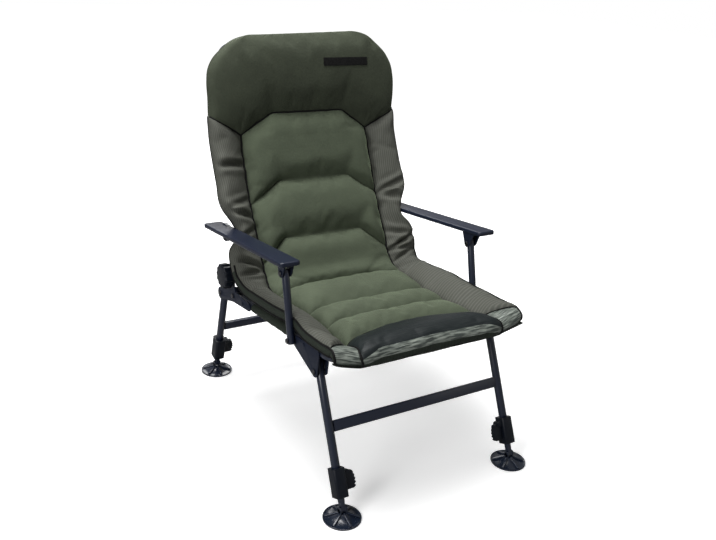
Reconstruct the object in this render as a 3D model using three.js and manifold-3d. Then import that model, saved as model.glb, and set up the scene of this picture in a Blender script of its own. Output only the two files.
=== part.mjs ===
// Folding recliner chair for the bank side: a steel tube frame with a padded seat and back,
// linked armrests, two pairs of folding legs and four telescopic feet. Millimetres, +Z up,
// the sitter faces -Y. While the pieces are drawn, Y is measured from the foot of the arm posts.
import * as THREE from 'three';
import { mergeVertices } from 'three/addons/utils/BufferGeometryUtils.js';
import Module from 'manifold-3d';

const wasm = await Module();
wasm.setup();

// Clearances and sheet sizes
const seatGap = 0.3;
const pinGap = 0.3;
const overrun = 4;
const plateThickness = 3;
const frameTubeDiameter = 22;
const frameTubeWall = 1.5;
const legTubeDiameter = 20;
const legTubeWall = 1.4;
const postDiameter = 18;
const postWall = 1.5;
const boltRadius = 3.2;
const boltHeadRadius = 6.5;
const boltHeadHeight = 3.6;

// Places in the side view, Y back and Z up
const railTrack = 245;
const railRearY = 335;
const railRearZ = 303.4;
const seatAngle = THREE.MathUtils.degToRad(7);
const seatFrontY = -160;
const backPivotY = 360;
const backPivotZ = 305;
const postPivotY = 1.5;
const postPivotZ = 343;
const armRise = 153;
const armSetback = 40;
const frontLegPivotY = -97;
const frontLegPivotZ = 308;
const rearLegPivotY = 448;
const rearLegPivotZ = 278;
const frontFootY = -232;
const rearFootY = 509;
const footPinHeight = 24;

// Back frame: height of each bend, and its lean from the vertical
const backBendLowZ = 490;
const backBendHighZ = 735;
const backTopZ = 930;
const leanLow = Math.atan(armSetback / armRise);
const leanMiddle = THREE.MathUtils.degToRad(25.5);
const leanTop = THREE.MathUtils.degToRad(10.5);
const frameBendRadius = 45;
const bendStep = THREE.MathUtils.degToRad(18.5);
const backTopInset = 79.4;
const frontTubeInset = 65;

// Worked out once from the sizes above
const frameRadius = frameTubeDiameter / 2;
const legRadius = legTubeDiameter / 2;
const postRadius = postDiameter / 2;
const outerPlateX = railTrack + frameRadius + seatGap;
const outerPlateFaceX = outerPlateX + plateThickness;
const innerPlateX = railTrack - frameRadius - seatGap - plateThickness;
const innerPlateBackX = innerPlateX + plateThickness;
const backTrack = innerPlateX - seatGap - frameRadius;
const backTopJointX = backTrack - backTopInset;
const frontTubeJointX = railTrack - frontTubeInset;
const postTrack = outerPlateFaceX + seatGap + postRadius;
const armPivotY = backPivotY + armSetback;
const armPivotZ = backPivotZ + armRise;
const postTopY = postPivotY + armSetback;
const postTopZ = postPivotZ + armRise;
const railZ = (y) => railRearZ + (railRearY - y) * Math.tan(seatAngle);

const backTubeY = (z) => {
  const low = backPivotY + (Math.min(z, backBendLowZ) - backPivotZ) * Math.tan(leanLow);
  const middle = Math.max(0, Math.min(z, backBendHighZ) - backBendLowZ) * Math.tan(leanMiddle);
  const top = Math.max(0, z - backBendHighZ) * Math.tan(leanTop);
  return low + middle + top;
};

const steel = { color: 0x23262f, roughness: 0.42, metalness: 0.65 };
const zinc = { color: 0x2a2b2e, roughness: 0.35, metalness: 0.8 };
const plastic = { color: 0x17181c, roughness: 0.5, metalness: 0 };
const armPlastic = { color: 0x252a36, roughness: 0.45, metalness: 0 };
const fleece = { color: 0x3b4434, roughness: 0.95, metalness: 0 };
const webbing = { color: 0x1c1f1b, roughness: 0.9, metalness: 0 };

const chair = new THREE.Group();

function place(name, geometry, finish, parent = chair) {
  const mesh = new THREE.Mesh(outward(geometry), new THREE.MeshStandardMaterial(finish));
  mesh.name = name;
  parent.add(mesh);
  return mesh;
}

// Solids: turning a geometry into a closed, outward-facing, welded mesh and back
function welded(geometry) {
  const bare = geometry.clone();
  for (const attribute of ['normal', 'uv']) {
    bare.deleteAttribute(attribute);
  }
  return mergeVertices(bare);
}

function signedVolume(geometry) {
  const at = geometry.attributes.position;
  const index = geometry.index;
  const corner = [new THREE.Vector3(), new THREE.Vector3(), new THREE.Vector3()];
  let total = 0;
  for (let i = 0; i < index.count; i += 3) {
    corner.forEach((point, k) => point.fromBufferAttribute(at, index.getX(i + k)));
    total += corner[0].dot(corner[1].cross(corner[2]));
  }
  return total / 6;
}

function flipped(geometry) {
  const index = geometry.index.array;
  for (let i = 0; i < index.length; i += 3) {
    [index[i], index[i + 1]] = [index[i + 1], index[i]];
  }
  return geometry;
}

function outward(geometry) {
  const solid = welded(geometry);
  return signedVolume(solid) < 0 ? flipped(solid) : solid;
}

function toSolid(geometry) {
  const mesh = outward(geometry);
  return new wasm.Manifold(new wasm.Mesh({
    numProp: 3,
    vertProperties: new Float32Array(mesh.attributes.position.array),
    triVerts: new Uint32Array(mesh.index.array),
  }));
}

function toGeometry(solid) {
  const mesh = solid.getMesh();
  const geometry = new THREE.BufferGeometry();
  geometry.setAttribute('position', new THREE.BufferAttribute(new Float32Array(mesh.vertProperties), 3));
  geometry.setIndex(new THREE.BufferAttribute(new Uint32Array(mesh.triVerts), 1));
  return geometry;
}

function joined(...geometries) {
  return toGeometry(geometries.map(toSolid).reduce((whole, piece) => whole.add(piece)));
}

function cut(geometry, ...tools) {
  return toGeometry(tools.map(toSolid).reduce((rest, tool) => rest.subtract(tool), toSolid(geometry)));
}

function mirrored(geometry) {
  const copy = outward(geometry);
  copy.scale(-1, 1, 1);
  return flipped(copy);
}

// A piece drawn on the +X side; the other side gets its mirror image
function onSide(geometry, side) {
  return side > 0 ? geometry : mirrored(geometry);
}

const sides = [['left', -1], ['right', 1]];

// Basic shapes
function rodX(radius, fromX, toX, y, z, facets = 10) {
  const rod = new THREE.CylinderGeometry(radius, radius, toX - fromX, facets);
  rod.rotateZ(Math.PI / 2);
  rod.translate((fromX + toX) / 2, y, z);
  return rod;
}

function block(fromX, toX, fromY, toY, fromZ, toZ) {
  const box = new THREE.BoxGeometry(toX - fromX, toY - fromY, toZ - fromZ);
  box.translate((fromX + toX) / 2, (fromY + toY) / 2, (fromZ + toZ) / 2);
  return box;
}

// A turned piece on an X axis: each step is [x, radius], and the profile closes on the axis
function turnedX(steps, y, z, facets = 8) {
  const points = steps.map(([x, radius]) => new THREE.Vector2(radius, x));
  const first = new THREE.Vector2(0, steps[0][0]);
  const last = new THREE.Vector2(0, steps[steps.length - 1][0]);
  const turned = new THREE.LatheGeometry([first, ...points, last], facets);
  turned.rotateZ(-Math.PI / 2);
  turned.translate(0, y, z);
  return turned;
}

// The smallest outline around a set of circles, each [y, z, radius]
function outlineAround(circles, facets = 12) {
  const points = circles.flatMap(([y, z, radius]) => Array.from({ length: facets }, (_, i) => {
    const turn = (i / facets) * 2 * Math.PI;
    return [y + radius * Math.cos(turn), z + radius * Math.sin(turn)];
  }));
  points.sort((a, b) => a[0] - b[0] || a[1] - b[1]);
  const turnOf = (a, b, c) => (b[0] - a[0]) * (c[1] - a[1]) - (b[1] - a[1]) * (c[0] - a[0]);
  const chain = (list) => list.reduce((kept, point) => {
    while (kept.length > 1 && turnOf(kept.at(-2), kept.at(-1), point) <= 0) {
      kept.pop();
    }
    return [...kept, point];
  }, []);
  const lower = chain(points);
  const upper = chain([...points].reverse());
  return [...lower.slice(0, -1), ...upper.slice(0, -1)];
}

function sideProfile(outline, fromX, toX) {
  const shape = new THREE.Shape(outline.map(([y, z]) => new THREE.Vector2(y, z)));
  const slab = new THREE.ExtrudeGeometry(shape, { depth: toX - fromX, bevelEnabled: false });
  const along = new THREE.Matrix4().makeBasis(
    new THREE.Vector3(0, 1, 0), new THREE.Vector3(0, 0, 1), new THREE.Vector3(1, 0, 0));
  slab.applyMatrix4(along);
  slab.translate(fromX, 0, 0);
  return slab;
}

// A flat plate across X made of rounded arms; each arm goes round its circles
function linkPlate(arms, fromX, toX) {
  return joined(...arms.map((circles) => sideProfile(outlineAround(circles), fromX, toX)));
}

// A curve through fixed points, which an extrusion follows corner by corner
class FixedPath extends THREE.Curve {
  constructor(points) {
    super();
    this.points = points;
  }

  getUtoTmapping(share) {
    return share;
  }

  getPoint(share, target = new THREE.Vector3()) {
    const reach = share * (this.points.length - 1);
    const start = Math.min(Math.floor(reach), this.points.length - 2);
    return target.lerpVectors(this.points[start], this.points[start + 1], reach - start);
  }

  getTangent(share, target = new THREE.Vector3()) {
    const i = Math.round(share * (this.points.length - 1));
    const before = this.points[Math.max(i - 1, 0)];
    const after = this.points[Math.min(i + 1, this.points.length - 1)];
    return target.subVectors(after, before).normalize();
  }
}

// Corner points with every inner corner rounded by an arc
function roundedPath(corners, radius) {
  const path = [corners[0]];
  for (let i = 1; i < corners.length - 1; i += 1) {
    const toward = corners[i - 1].clone().sub(corners[i]).normalize();
    const onward = corners[i + 1].clone().sub(corners[i]).normalize();
    const halfTurn = toward.angleTo(onward) / 2;
    const reach = radius / Math.tan(halfTurn);
    const centre = toward.clone().add(onward).normalize()
      .multiplyScalar(radius / Math.sin(halfTurn)).add(corners[i]);
    const start = toward.clone().multiplyScalar(reach).add(corners[i]).sub(centre);
    const end = onward.clone().multiplyScalar(reach).add(corners[i]).sub(centre);
    const sweep = start.angleTo(end);
    const steps = Math.ceil(sweep / bendStep);
    for (let k = 0; k <= steps; k += 1) {
      const share = k / steps;
      const point = start.clone().multiplyScalar(Math.sin((1 - share) * sweep))
        .addScaledVector(end, Math.sin(share * sweep)).divideScalar(Math.sin(sweep));
      path.push(point.add(centre));
    }
  }
  path.push(corners.at(-1));
  return path;
}

function tubeAlong(points, diameter, wall, facets = 12) {
  const ring = new THREE.Shape().absarc(0, 0, diameter / 2, 0, 2 * Math.PI, false);
  ring.holes.push(new THREE.Path().absarc(0, 0, diameter / 2 - wall, 0, 2 * Math.PI, true));
  return new THREE.ExtrudeGeometry(ring, {
    steps: points.length - 1,
    curveSegments: facets / 2,
    extrudePath: new FixedPath(points),
  });
}

const sidePoint = (x, y, z) => new THREE.Vector3(x, y, z);

// Seat frame: two rails with their front corners, a front tube and a rear spreader
const rivetRadius = 5;
const rivetHeight = 2;

function seatRail() {
  const path = roundedPath([
    sidePoint(railTrack, railRearY, railZ(railRearY)),
    sidePoint(railTrack, seatFrontY, railZ(seatFrontY)),
    sidePoint(frontTubeJointX, seatFrontY, railZ(seatFrontY)),
  ], frameBendRadius);
  return tubeAlong(path, frameTubeDiameter, frameTubeWall);
}

const spreaderY = 402;
const spreaderZ = 281;
const spreaderDiameter = 16;

function seatFrame() {
  for (const [label, side] of sides) {
    place(`seat_rail_${label}`, onSide(seatRail(), side), steel);
  }
  const frontEnd = frontTubeJointX - seatGap;
  const front = [sidePoint(-frontEnd, seatFrontY, railZ(seatFrontY)),
    sidePoint(frontEnd, seatFrontY, railZ(seatFrontY))];
  place('seat_front_tube', tubeAlong(front, frameTubeDiameter, frameTubeWall), steel);
  const spreaderEnd = innerPlateX - seatGap;
  const spreader = [-spreaderEnd, spreaderEnd].map((x) => sidePoint(x, spreaderY, spreaderZ));
  place('seat_rear_tube', tubeAlong(spreader, spreaderDiameter, frameTubeWall), steel);
}

// Front leg brackets: two cheeks that hold the rail, joined by a web behind the leg's top end
const frontLegTop = 28;
const frontWebLow = 16;
const rearLegTop = 24;
const rearWebLow = 12;
const legWebThickness = 3;
const bracketRailReach = 108;
const bracketRailMargin = 1;
const bracketTipRadius = 13;
const frontLegLean = Math.atan((frontLegPivotY - frontFootY) / (frontLegPivotZ - footPinHeight));
const rearLegLean = Math.atan((rearFootY - rearLegPivotY) / (rearLegPivotZ - footPinHeight));

// A web beside the leg's top end, drawn upright at the leg pivot and leaned with the leg
function legWeb(pivotY, pivotZ, lean, fromZ, toZ, fromX, toX) {
  const near = lean < 0 ? legRadius + seatGap : -legRadius - seatGap - legWebThickness;
  const web = block(fromX, toX, near, near + legWebThickness, fromZ, toZ);
  web.rotateX(lean);
  web.translate(0, pivotY, pivotZ);
  return web;
}

function frontBracket() {
  const cheekRadius = frameRadius - bracketRailMargin;
  const railFrontY = frontLegPivotY - bracketTipRadius / 2;
  const railBackY = railFrontY + bracketRailReach + bracketTipRadius;
  const arm = [
    [railFrontY, railZ(railFrontY), cheekRadius],
    [railBackY, railZ(railBackY), cheekRadius],
    [postPivotY, postPivotZ, cheekRadius],
    [frontLegPivotY, frontLegPivotZ, bracketTipRadius],
  ];
  const rivetY = (railFrontY + railBackY) / 2;
  const innerX = innerPlateX + pinGap;
  const outerX = outerPlateFaceX - pinGap;
  const body = joined(
    linkPlate([arm], outerPlateX, outerPlateFaceX),
    linkPlate([arm], innerPlateX, innerPlateBackX),
    legWeb(frontLegPivotY, frontLegPivotZ, -frontLegLean, frontWebLow, frontLegTop, innerX, outerX),
    rodX(rivetRadius, outerPlateFaceX - pinGap, outerPlateFaceX + rivetHeight, rivetY, railZ(rivetY)),
  );
  const hole = boltRadius + pinGap;
  return cut(
    body,
    rodX(hole, innerPlateX - overrun, outerPlateFaceX + overrun, frontLegPivotY, frontLegPivotZ),
    rodX(hole, outerPlateX - overrun, outerPlateFaceX + overrun, postPivotY, postPivotZ),
  );
}

// Hinge plates at the rear of each rail: they carry the back pivot, the slot in which the knob
// clamps the back, and the rear leg pivot
const knobReach = 57;
const knobStudRadius = 4;
const slotGap = 0.4;
const reclineAngle = THREE.MathUtils.degToRad(35);
const foldAngle = THREE.MathUtils.degToRad(68);
const slotRim = 9;
const slotArmCount = 4;
const hingeRimRadius = 17;
const plateRailReach = 75;

const onSlot = (lean) => [
  backPivotY + knobReach * Math.sin(lean),
  backPivotZ + knobReach * Math.cos(lean),
];

function slotCutters(fromX, toX) {
  const radius = knobStudRadius + slotGap;
  const start = leanLow - foldAngle;
  const sweep = reclineAngle + foldAngle;
  const steps = 12;
  return Array.from({ length: steps }, (_, i) => {
    const here = onSlot(start + (i / steps) * sweep);
    const next = onSlot(start + ((i + 1) / steps) * sweep);
    const stretch = outlineAround([[...here, radius], [...next, radius]]);
    return sideProfile(stretch, fromX - overrun, toX + overrun);
  });
}

function hingePlate(fromX, toX) {
  const railEndY = railRearY - plateRailReach;
  const cheekRadius = frameRadius - bracketRailMargin;
  const rimRadius = knobStudRadius + slotRim;
  const slotArms = Array.from({ length: slotArmCount }, (_, i) => {
    const lean = leanLow + (i / (slotArmCount - 1)) * reclineAngle;
    return [...onSlot(lean), rimRadius];
  });
  const plate = linkPlate([
    [[railEndY, railZ(railEndY), cheekRadius], [backPivotY, backPivotZ, hingeRimRadius]],
    [[backPivotY, backPivotZ, hingeRimRadius], ...slotArms],
    [[backPivotY, backPivotZ, hingeRimRadius], [rearLegPivotY, rearLegPivotZ, hingeRimRadius]],
  ], fromX, toX);
  return cut(
    plate,
    rodX(boltRadius + pinGap, fromX - overrun, toX + overrun, backPivotY, backPivotZ),
    rodX(boltRadius + pinGap, fromX - overrun, toX + overrun, rearLegPivotY, rearLegPivotZ),
    ...slotCutters(fromX, toX),
  );
}

function outerHingePlate() {
  const rivetY = railRearY - plateRailReach / 2;
  return joined(
    hingePlate(outerPlateX, outerPlateFaceX),
    rodX(rivetRadius, outerPlateFaceX - pinGap, outerPlateFaceX + rivetHeight, rivetY, railZ(rivetY)),
  );
}

function innerHingePlate() {
  const innerX = innerPlateX + pinGap;
  const outerX = outerPlateX - seatGap;
  return joined(
    hingePlate(innerPlateX, innerPlateBackX),
    legWeb(rearLegPivotY, rearLegPivotZ, rearLegLean, rearWebLow, rearLegTop, innerX, outerX),
  );
}

// Bolts: a round head outside, a plain shank, and a nut at the inner end
function bolt(headX, shankEndX, y, z, collars = []) {
  const steps = [
    [shankEndX - boltHeadHeight, boltHeadRadius],
    [shankEndX, boltHeadRadius],
    [shankEndX, boltRadius],
    ...collars.flatMap(([fromX, toX, radius]) => [
      [fromX, boltRadius], [fromX, radius], [toX, radius], [toX, boltRadius],
    ]),
    [headX, boltRadius],
    [headX, boltHeadRadius],
    [headX + boltHeadHeight / 2, boltHeadRadius],
    [headX + boltHeadHeight, boltHeadRadius / 2],
  ];
  return turnedX(steps, y, z);
}

// A bolt that ends in a tapped plate, with no nut
function stubBolt(headX, endX, y, z) {
  return turnedX([
    [endX, boltRadius],
    [headX, boltRadius],
    [headX, boltHeadRadius],
    [headX + boltHeadHeight / 2, boltHeadRadius],
    [headX + boltHeadHeight, boltHeadRadius / 2],
  ], y, z);
}

function brackets() {
  const collarRadius = 7;
  const collar = [innerPlateBackX + seatGap, outerPlateX - seatGap, collarRadius];
  for (const [label, side] of sides) {
    place(`front_bracket_${label}`, onSide(frontBracket(), side), steel);
    place(`hinge_plate_${label}`, onSide(outerHingePlate(), side), steel);
    place(`rear_bracket_${label}`, onSide(innerHingePlate(), side), steel);
    const headX = outerPlateFaceX + seatGap;
    const nutX = innerPlateX - seatGap;
    place(`front_leg_bolt_${label}`, onSide(bolt(headX, nutX, frontLegPivotY, frontLegPivotZ), side), zinc);
    place(`rear_leg_bolt_${label}`, onSide(bolt(headX, nutX, rearLegPivotY, rearLegPivotZ), side), zinc);
    const backNutX = backTrack - frameRadius - seatGap;
    const backPivotBolt = bolt(headX, backNutX, backPivotY, backPivotZ, [collar]);
    place(`back_pivot_bolt_${label}`, onSide(backPivotBolt, side), zinc);
    const postHeadX = postTrack + postRadius + seatGap;
    const postBolt = stubBolt(postHeadX, outerPlateX, postPivotY, postPivotZ);
    place(`post_bolt_${label}`, onSide(postBolt, side), zinc);
  }
}

// Back frame: two bent side tubes that turn in at the top, and a top tube between them
const tubeTail = 14;
const backCrossZ = 540;
const backCrossSetback = 6;

function backTube() {
  const tailZ = backPivotZ - tubeTail;
  const path = roundedPath([
    sidePoint(backTrack, backTubeY(tailZ), tailZ),
    sidePoint(backTrack, backTubeY(backBendLowZ), backBendLowZ),
    sidePoint(backTrack, backTubeY(backBendHighZ), backBendHighZ),
    sidePoint(backTrack, backTubeY(backTopZ), backTopZ),
    sidePoint(backTopJointX, backTubeY(backTopZ), backTopZ),
  ], frameBendRadius);
  const fromX = backTrack - frameRadius - overrun;
  const toX = backTrack + frameRadius + overrun;
  return cut(
    tubeAlong(path, frameTubeDiameter, frameTubeWall),
    rodX(boltRadius + pinGap, fromX, toX, backPivotY, backPivotZ),
    rodX(boltRadius + pinGap, fromX, toX, armPivotY, armPivotZ),
    rodX(knobStudRadius + pinGap, fromX, toX, ...onSlot(leanLow)),
  );
}

// The clamp knob: a scalloped wheel with its stud and the stud's end nut
const knobDiameter = 68;
const knobWidth = 26;
const knobBossRadius = 12;
const knobBossLength = 3;
const knobScallops = 12;
const knobScallopDepth = 2;
const knobEdge = 3;

function knob() {
  const [y, z] = onSlot(leanLow);
  const wheelX = outerPlateFaceX + seatGap + knobBossLength;
  const rim = knobDiameter / 2 - knobEdge - knobScallopDepth;
  const facets = knobScallops * 4;
  const outline = Array.from({ length: facets }, (_, i) => {
    const turn = (i / facets) * 2 * Math.PI;
    const radius = rim + knobScallopDepth * Math.cos(turn * knobScallops);
    return new THREE.Vector2(radius * Math.cos(turn), radius * Math.sin(turn));
  });
  const wheel = new THREE.ExtrudeGeometry(new THREE.Shape(outline), {
    depth: knobWidth - 2 * knobEdge,
    bevelEnabled: true,
    bevelThickness: knobEdge,
    bevelSize: knobEdge,
    bevelSegments: 1,
  });
  wheel.rotateY(Math.PI / 2);
  wheel.translate(wheelX + knobEdge, y, z);
  const nutX = backTrack - frameRadius - seatGap;
  const stud = turnedX([
    [nutX - boltHeadHeight, boltHeadRadius],
    [nutX, boltHeadRadius],
    [nutX, knobStudRadius],
    [outerPlateFaceX + seatGap, knobStudRadius],
    [outerPlateFaceX + seatGap, knobBossRadius],
    [wheelX + knobEdge, knobBossRadius],
  ], y, z);
  return joined(wheel, stud);
}

function backFrame() {
  for (const [label, side] of sides) {
    place(`back_tube_${label}`, onSide(backTube(), side), steel);
    place(`knob_${label}`, onSide(knob(), side), plastic);
  }
  const end = backTopJointX - seatGap;
  const top = [-end, end].map((x) => sidePoint(x, backTubeY(backTopZ), backTopZ));
  place('back_top_tube', tubeAlong(top, frameTubeDiameter, frameTubeWall), steel);
  const crossEnd = backTrack - frameRadius - seatGap;
  const crossY = backTubeY(backCrossZ) + backCrossSetback;
  const cross = [sidePoint(-crossEnd, crossY, backCrossZ), sidePoint(crossEnd, crossY, backCrossZ)];
  place('back_cross_tube', tubeAlong(cross, spreaderDiameter, frameTubeWall), steel);
}

// Arms: a moulded rest, bolted to the back tube and to a post that stays parallel to the back's foot
const armTopZ = 541.5;
const armFrontY = -6;
const armRearY = 455;
const armAngle = THREE.MathUtils.degToRad(6.95);
const armWidth = 52;
const armInset = 2.3;
const armThickness = 11;
const armEdge = 3;
const armCorner = 14;
const earRadius = 10;
const bracketMargin = 22;
const lugThickness = 10;
const lugSpread = 16;

const armInnerX = outerPlateX - armInset;
const armTop = (y) => armTopZ - (y - armFrontY) * Math.tan(armAngle);
const armUnder = (y) => armTop(y) - armThickness / Math.cos(armAngle) - seatGap;

function roundedRectangle(width, length, corner) {
  const x = width / 2 - corner;
  const y = length / 2 - corner;
  const shape = new THREE.Shape();
  shape.absarc(x, y, corner, 0, Math.PI / 2, false);
  shape.absarc(-x, y, corner, Math.PI / 2, Math.PI, false);
  shape.absarc(-x, -y, corner, Math.PI, 1.5 * Math.PI, false);
  shape.absarc(x, -y, corner, 1.5 * Math.PI, 2 * Math.PI, false);
  return shape;
}

// The moulded rest, with a lug near its rear end for the bolt through the back tube
function armrest() {
  const length = (armRearY - armFrontY) / Math.cos(armAngle);
  const shape = roundedRectangle(armWidth - 2 * armEdge, length - 2 * armEdge, armCorner);
  const pad = new THREE.ExtrudeGeometry(shape, {
    depth: armThickness - 2 * armEdge,
    bevelEnabled: true,
    bevelThickness: armEdge,
    bevelSize: armEdge,
    bevelSegments: 1,
    curveSegments: 4,
  });
  pad.translate(0, 0, armEdge - armThickness);
  pad.rotateX(-armAngle);
  const middleY = (armFrontY + armRearY) / 2;
  pad.translate(armInnerX + armWidth / 2, middleY, armTop(middleY));
  const lug = sideProfile(outlineAround([
    [armPivotY, armPivotZ, earRadius],
    [armPivotY - lugSpread, armUnder(armPivotY - lugSpread), armEdge],
    [armPivotY + lugSpread, armUnder(armPivotY + lugSpread), armEdge],
  ]), outerPlateX, outerPlateX + lugThickness);
  const hole = rodX(
    boltRadius + pinGap, outerPlateX - overrun, outerPlateX + lugThickness + overrun, armPivotY, armPivotZ);
  return cut(joined(pad, lug), hole);
}

// A forked bracket under the armrest takes the post's top end
function armBracket() {
  const outerEarX = postTrack + postRadius + seatGap;
  const outerFaceX = outerEarX + plateThickness;
  const frontY = postTopY - bracketMargin;
  const backY = postTopY + bracketMargin;
  const strip = [
    [frontY, armUnder(frontY)], [frontY, armUnder(frontY) - plateThickness],
    [backY, armUnder(backY) - plateThickness], [backY, armUnder(backY)],
  ];
  const ear = (fromX) => sideProfile(outlineAround([
    [postTopY, postTopZ, earRadius],
    [frontY + plateThickness, armUnder(frontY) - plateThickness, plateThickness / 2],
    [backY - plateThickness, armUnder(backY) - plateThickness, plateThickness / 2],
  ]), fromX, fromX + plateThickness);
  return cut(
    joined(sideProfile(strip, outerPlateX, outerFaceX), ear(outerPlateX), ear(outerEarX)),
    rodX(boltRadius + pinGap, outerPlateX - overrun, outerFaceX + overrun, postTopY, postTopZ),
  );
}

function post() {
  const upright = sidePoint(0, armSetback, armRise).normalize();
  const tail = postRadius;
  const foot = sidePoint(postTrack, postPivotY, postPivotZ).addScaledVector(upright, -tail);
  const head = sidePoint(postTrack, postTopY, postTopZ).addScaledVector(upright, tail);
  const fromX = postTrack - postRadius - overrun;
  const toX = postTrack + postRadius + overrun;
  return cut(
    tubeAlong([foot, head], postDiameter, postWall),
    rodX(boltRadius + pinGap, fromX, toX, postPivotY, postPivotZ),
    rodX(boltRadius + pinGap, fromX, toX, postTopY, postTopZ),
  );
}

function arms() {
  const spacerRadius = 6;
  for (const [label, side] of sides) {
    place(`armrest_${label}`, onSide(armrest(), side), armPlastic);
    place(`arm_bracket_${label}`, onSide(armBracket(), side), steel);
    place(`arm_post_${label}`, onSide(post(), side), steel);
    const outerHeadX = postTrack + postRadius + 2 * seatGap + plateThickness;
    const innerNutX = outerPlateX - seatGap;
    place(`arm_front_bolt_${label}`, onSide(bolt(outerHeadX, innerNutX, postTopY, postTopZ), side), zinc);
    const headX = outerPlateX + lugThickness + seatGap;
    const nutX = backTrack - frameRadius - seatGap;
    const spacer = [backTrack + frameRadius + seatGap, outerPlateX - seatGap, spacerRadius];
    place(`arm_rear_bolt_${label}`, onSide(bolt(headX, nutX, armPivotY, armPivotZ, [spacer]), side), zinc);
  }
}

// Legs: drawn upright in a group whose origin is the leg pivot, then leaned into place
const innerLegDiameter = 16;
const innerLegWall = 1.5;
const innerLegReach = 175;
const housingLength = 66;
const housingWidth = 30;
const housingDepth = 34;
const housingCorner = 6;
const housingFootGap = 28;
const housingSocket = 40;
const crossbarHeight = 25;
const crossbarThickness = 12;
const crossbarWall = 1.5;
const frontCrossbarZ = 192;
const rearCrossbarZ = 159;

const leverPivotDrop = 13;
const leverPivotOut = 22;
const leverBoss = 6;
const leverThickness = 10;
const leverPin = 2.5;
const leverEar = 4;
const leverLength = 54;
const leverDepth = 15;
const leverTeeth = 5;
const leverToothDepth = 3;

const tongueThickness = 10;
const tongueRadius = 7;
const footEar = 4;
const footEarRadius = 8;
const footPinRadius = 3;
const footDiameter = 90.6;
const footRim = 4;
const footHubRadius = 13;
const footHubHeight = 16;
const footRibs = 6;
const footRibWidth = 3;
const footRibHeight = 3;
// The dish's shoulder and the hub's fillet, as shares of the dish, hub and rim sizes
const footShoulderShare = 0.8;
const footShoulderRise = 1.9;
const footFilletShare = 1.3;
const footFilletRise = 0.75;
const footRibEndShare = 0.93;
const footFacets = 18;

function uprightTube(fromZ, toZ, diameter, wall) {
  return tubeAlong([sidePoint(0, 0, fromZ), sidePoint(0, 0, toZ)], diameter, wall);
}

function legTube(housingTop, topReach) {
  const end = -(housingTop + housingSocket - seatGap);
  const reach = legRadius + overrun;
  return cut(
    uprightTube(topReach, end, legTubeDiameter, legTubeWall),
    rodX(boltRadius + pinGap, -reach, reach, 0, 0),
  );
}

// The lock housing, with its lever on the -X side
function housing(housingTop) {
  const top = -housingTop;
  const bottom = top - housingLength;
  const body = new THREE.ExtrudeGeometry(roundedRectangle(housingWidth, housingDepth, housingCorner), {
    depth: housingLength,
    bevelEnabled: false,
    curveSegments: 2,
  });
  body.translate(0, 0, bottom);
  const pinZ = top - leverPivotDrop;
  const earInner = leverThickness / 2 + seatGap;
  const ear = (fromY) => {
    const lug = new THREE.CylinderGeometry(leverBoss, leverBoss, leverEar, 10);
    lug.translate(-leverPivotOut, fromY + leverEar / 2, pinZ);
    const neck = block(-leverPivotOut, -housingWidth / 2 + pinGap, fromY, fromY + leverEar,
      pinZ - leverBoss, pinZ + leverBoss);
    return joined(lug, neck);
  };
  const pin = new THREE.CylinderGeometry(leverPin, leverPin, 2 * (earInner + leverEar), 8);
  pin.translate(-leverPivotOut, 0, pinZ);
  const bores = [
    uprightRod(legRadius + pinGap, top - housingSocket, top + overrun),
    uprightRod(innerLegDiameter / 2 + pinGap, bottom - overrun, top),
  ];
  return cut(joined(body, ear(earInner), ear(-earInner - leverEar), pin), ...bores);
}

function uprightRod(radius, fromZ, toZ, facets = 14) {
  const rod = new THREE.CylinderGeometry(radius, radius, toZ - fromZ, facets);
  rod.rotateX(Math.PI / 2);
  rod.rotateZ(Math.PI / facets);
  rod.translate(0, 0, (fromZ + toZ) / 2);
  return rod;
}

// The cam lever: a toothed fin below its boss, drawn in the X-Z plane
function lever(housingTop) {
  const pinZ = -housingTop - leverPivotDrop;
  const innerX = -leverPivotOut + leverBoss;
  const shape = new THREE.Shape();
  shape.absarc(-leverPivotOut, pinZ, leverBoss, 0, Math.PI, false);
  const outerX = -leverPivotOut - leverBoss;
  for (let i = 0; i <= leverTeeth; i += 1) {
    const share = i / leverTeeth;
    const z = pinZ - share * (leverLength - leverPivotDrop);
    const swell = leverDepth * Math.sin(Math.PI * (1 + 2 * share) / 4);
    shape.lineTo(outerX - swell + leverToothDepth, z);
    if (i < leverTeeth) {
      shape.lineTo(outerX - swell, z - (leverLength - leverPivotDrop) / leverTeeth / 2);
    }
  }
  shape.lineTo(innerX - leverBoss / 2, pinZ - leverLength + leverPivotDrop);
  shape.lineTo(innerX, pinZ - leverLength / 2);
  const slab = new THREE.ExtrudeGeometry(shape, {
    depth: leverThickness,
    bevelEnabled: false,
    curveSegments: 8,
  });
  slab.rotateX(Math.PI / 2);
  slab.translate(0, leverThickness / 2, 0);
  const holeRadius = leverPin + pinGap;
  const hole = new THREE.CylinderGeometry(holeRadius, holeRadius, leverThickness + overrun, 8);
  hole.translate(-leverPivotOut, 0, pinZ);
  return cut(slab, hole);
}

function innerLeg(footReach) {
  const tubeEnd = -(footReach - 2 * footEarRadius);
  const tongueTop = tubeEnd + footEarRadius;
  const half = tongueThickness / 2;
  const tongue = joined(
    rodX(tongueRadius, -half, half, 0, -footReach),
    block(-half, half, -tongueRadius, tongueRadius, -footReach, tongueTop),
  );
  const plug = uprightRod(innerLegDiameter / 2 - innerLegWall + pinGap, tubeEnd + pinGap, tongueTop);
  const tube = uprightTube(-(footReach - innerLegReach), tubeEnd, innerLegDiameter, innerLegWall);
  const reach = half + overrun;
  return cut(joined(tube, plug, tongue), rodX(footPinRadius + pinGap, -reach, reach, 0, -footReach));
}

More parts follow.
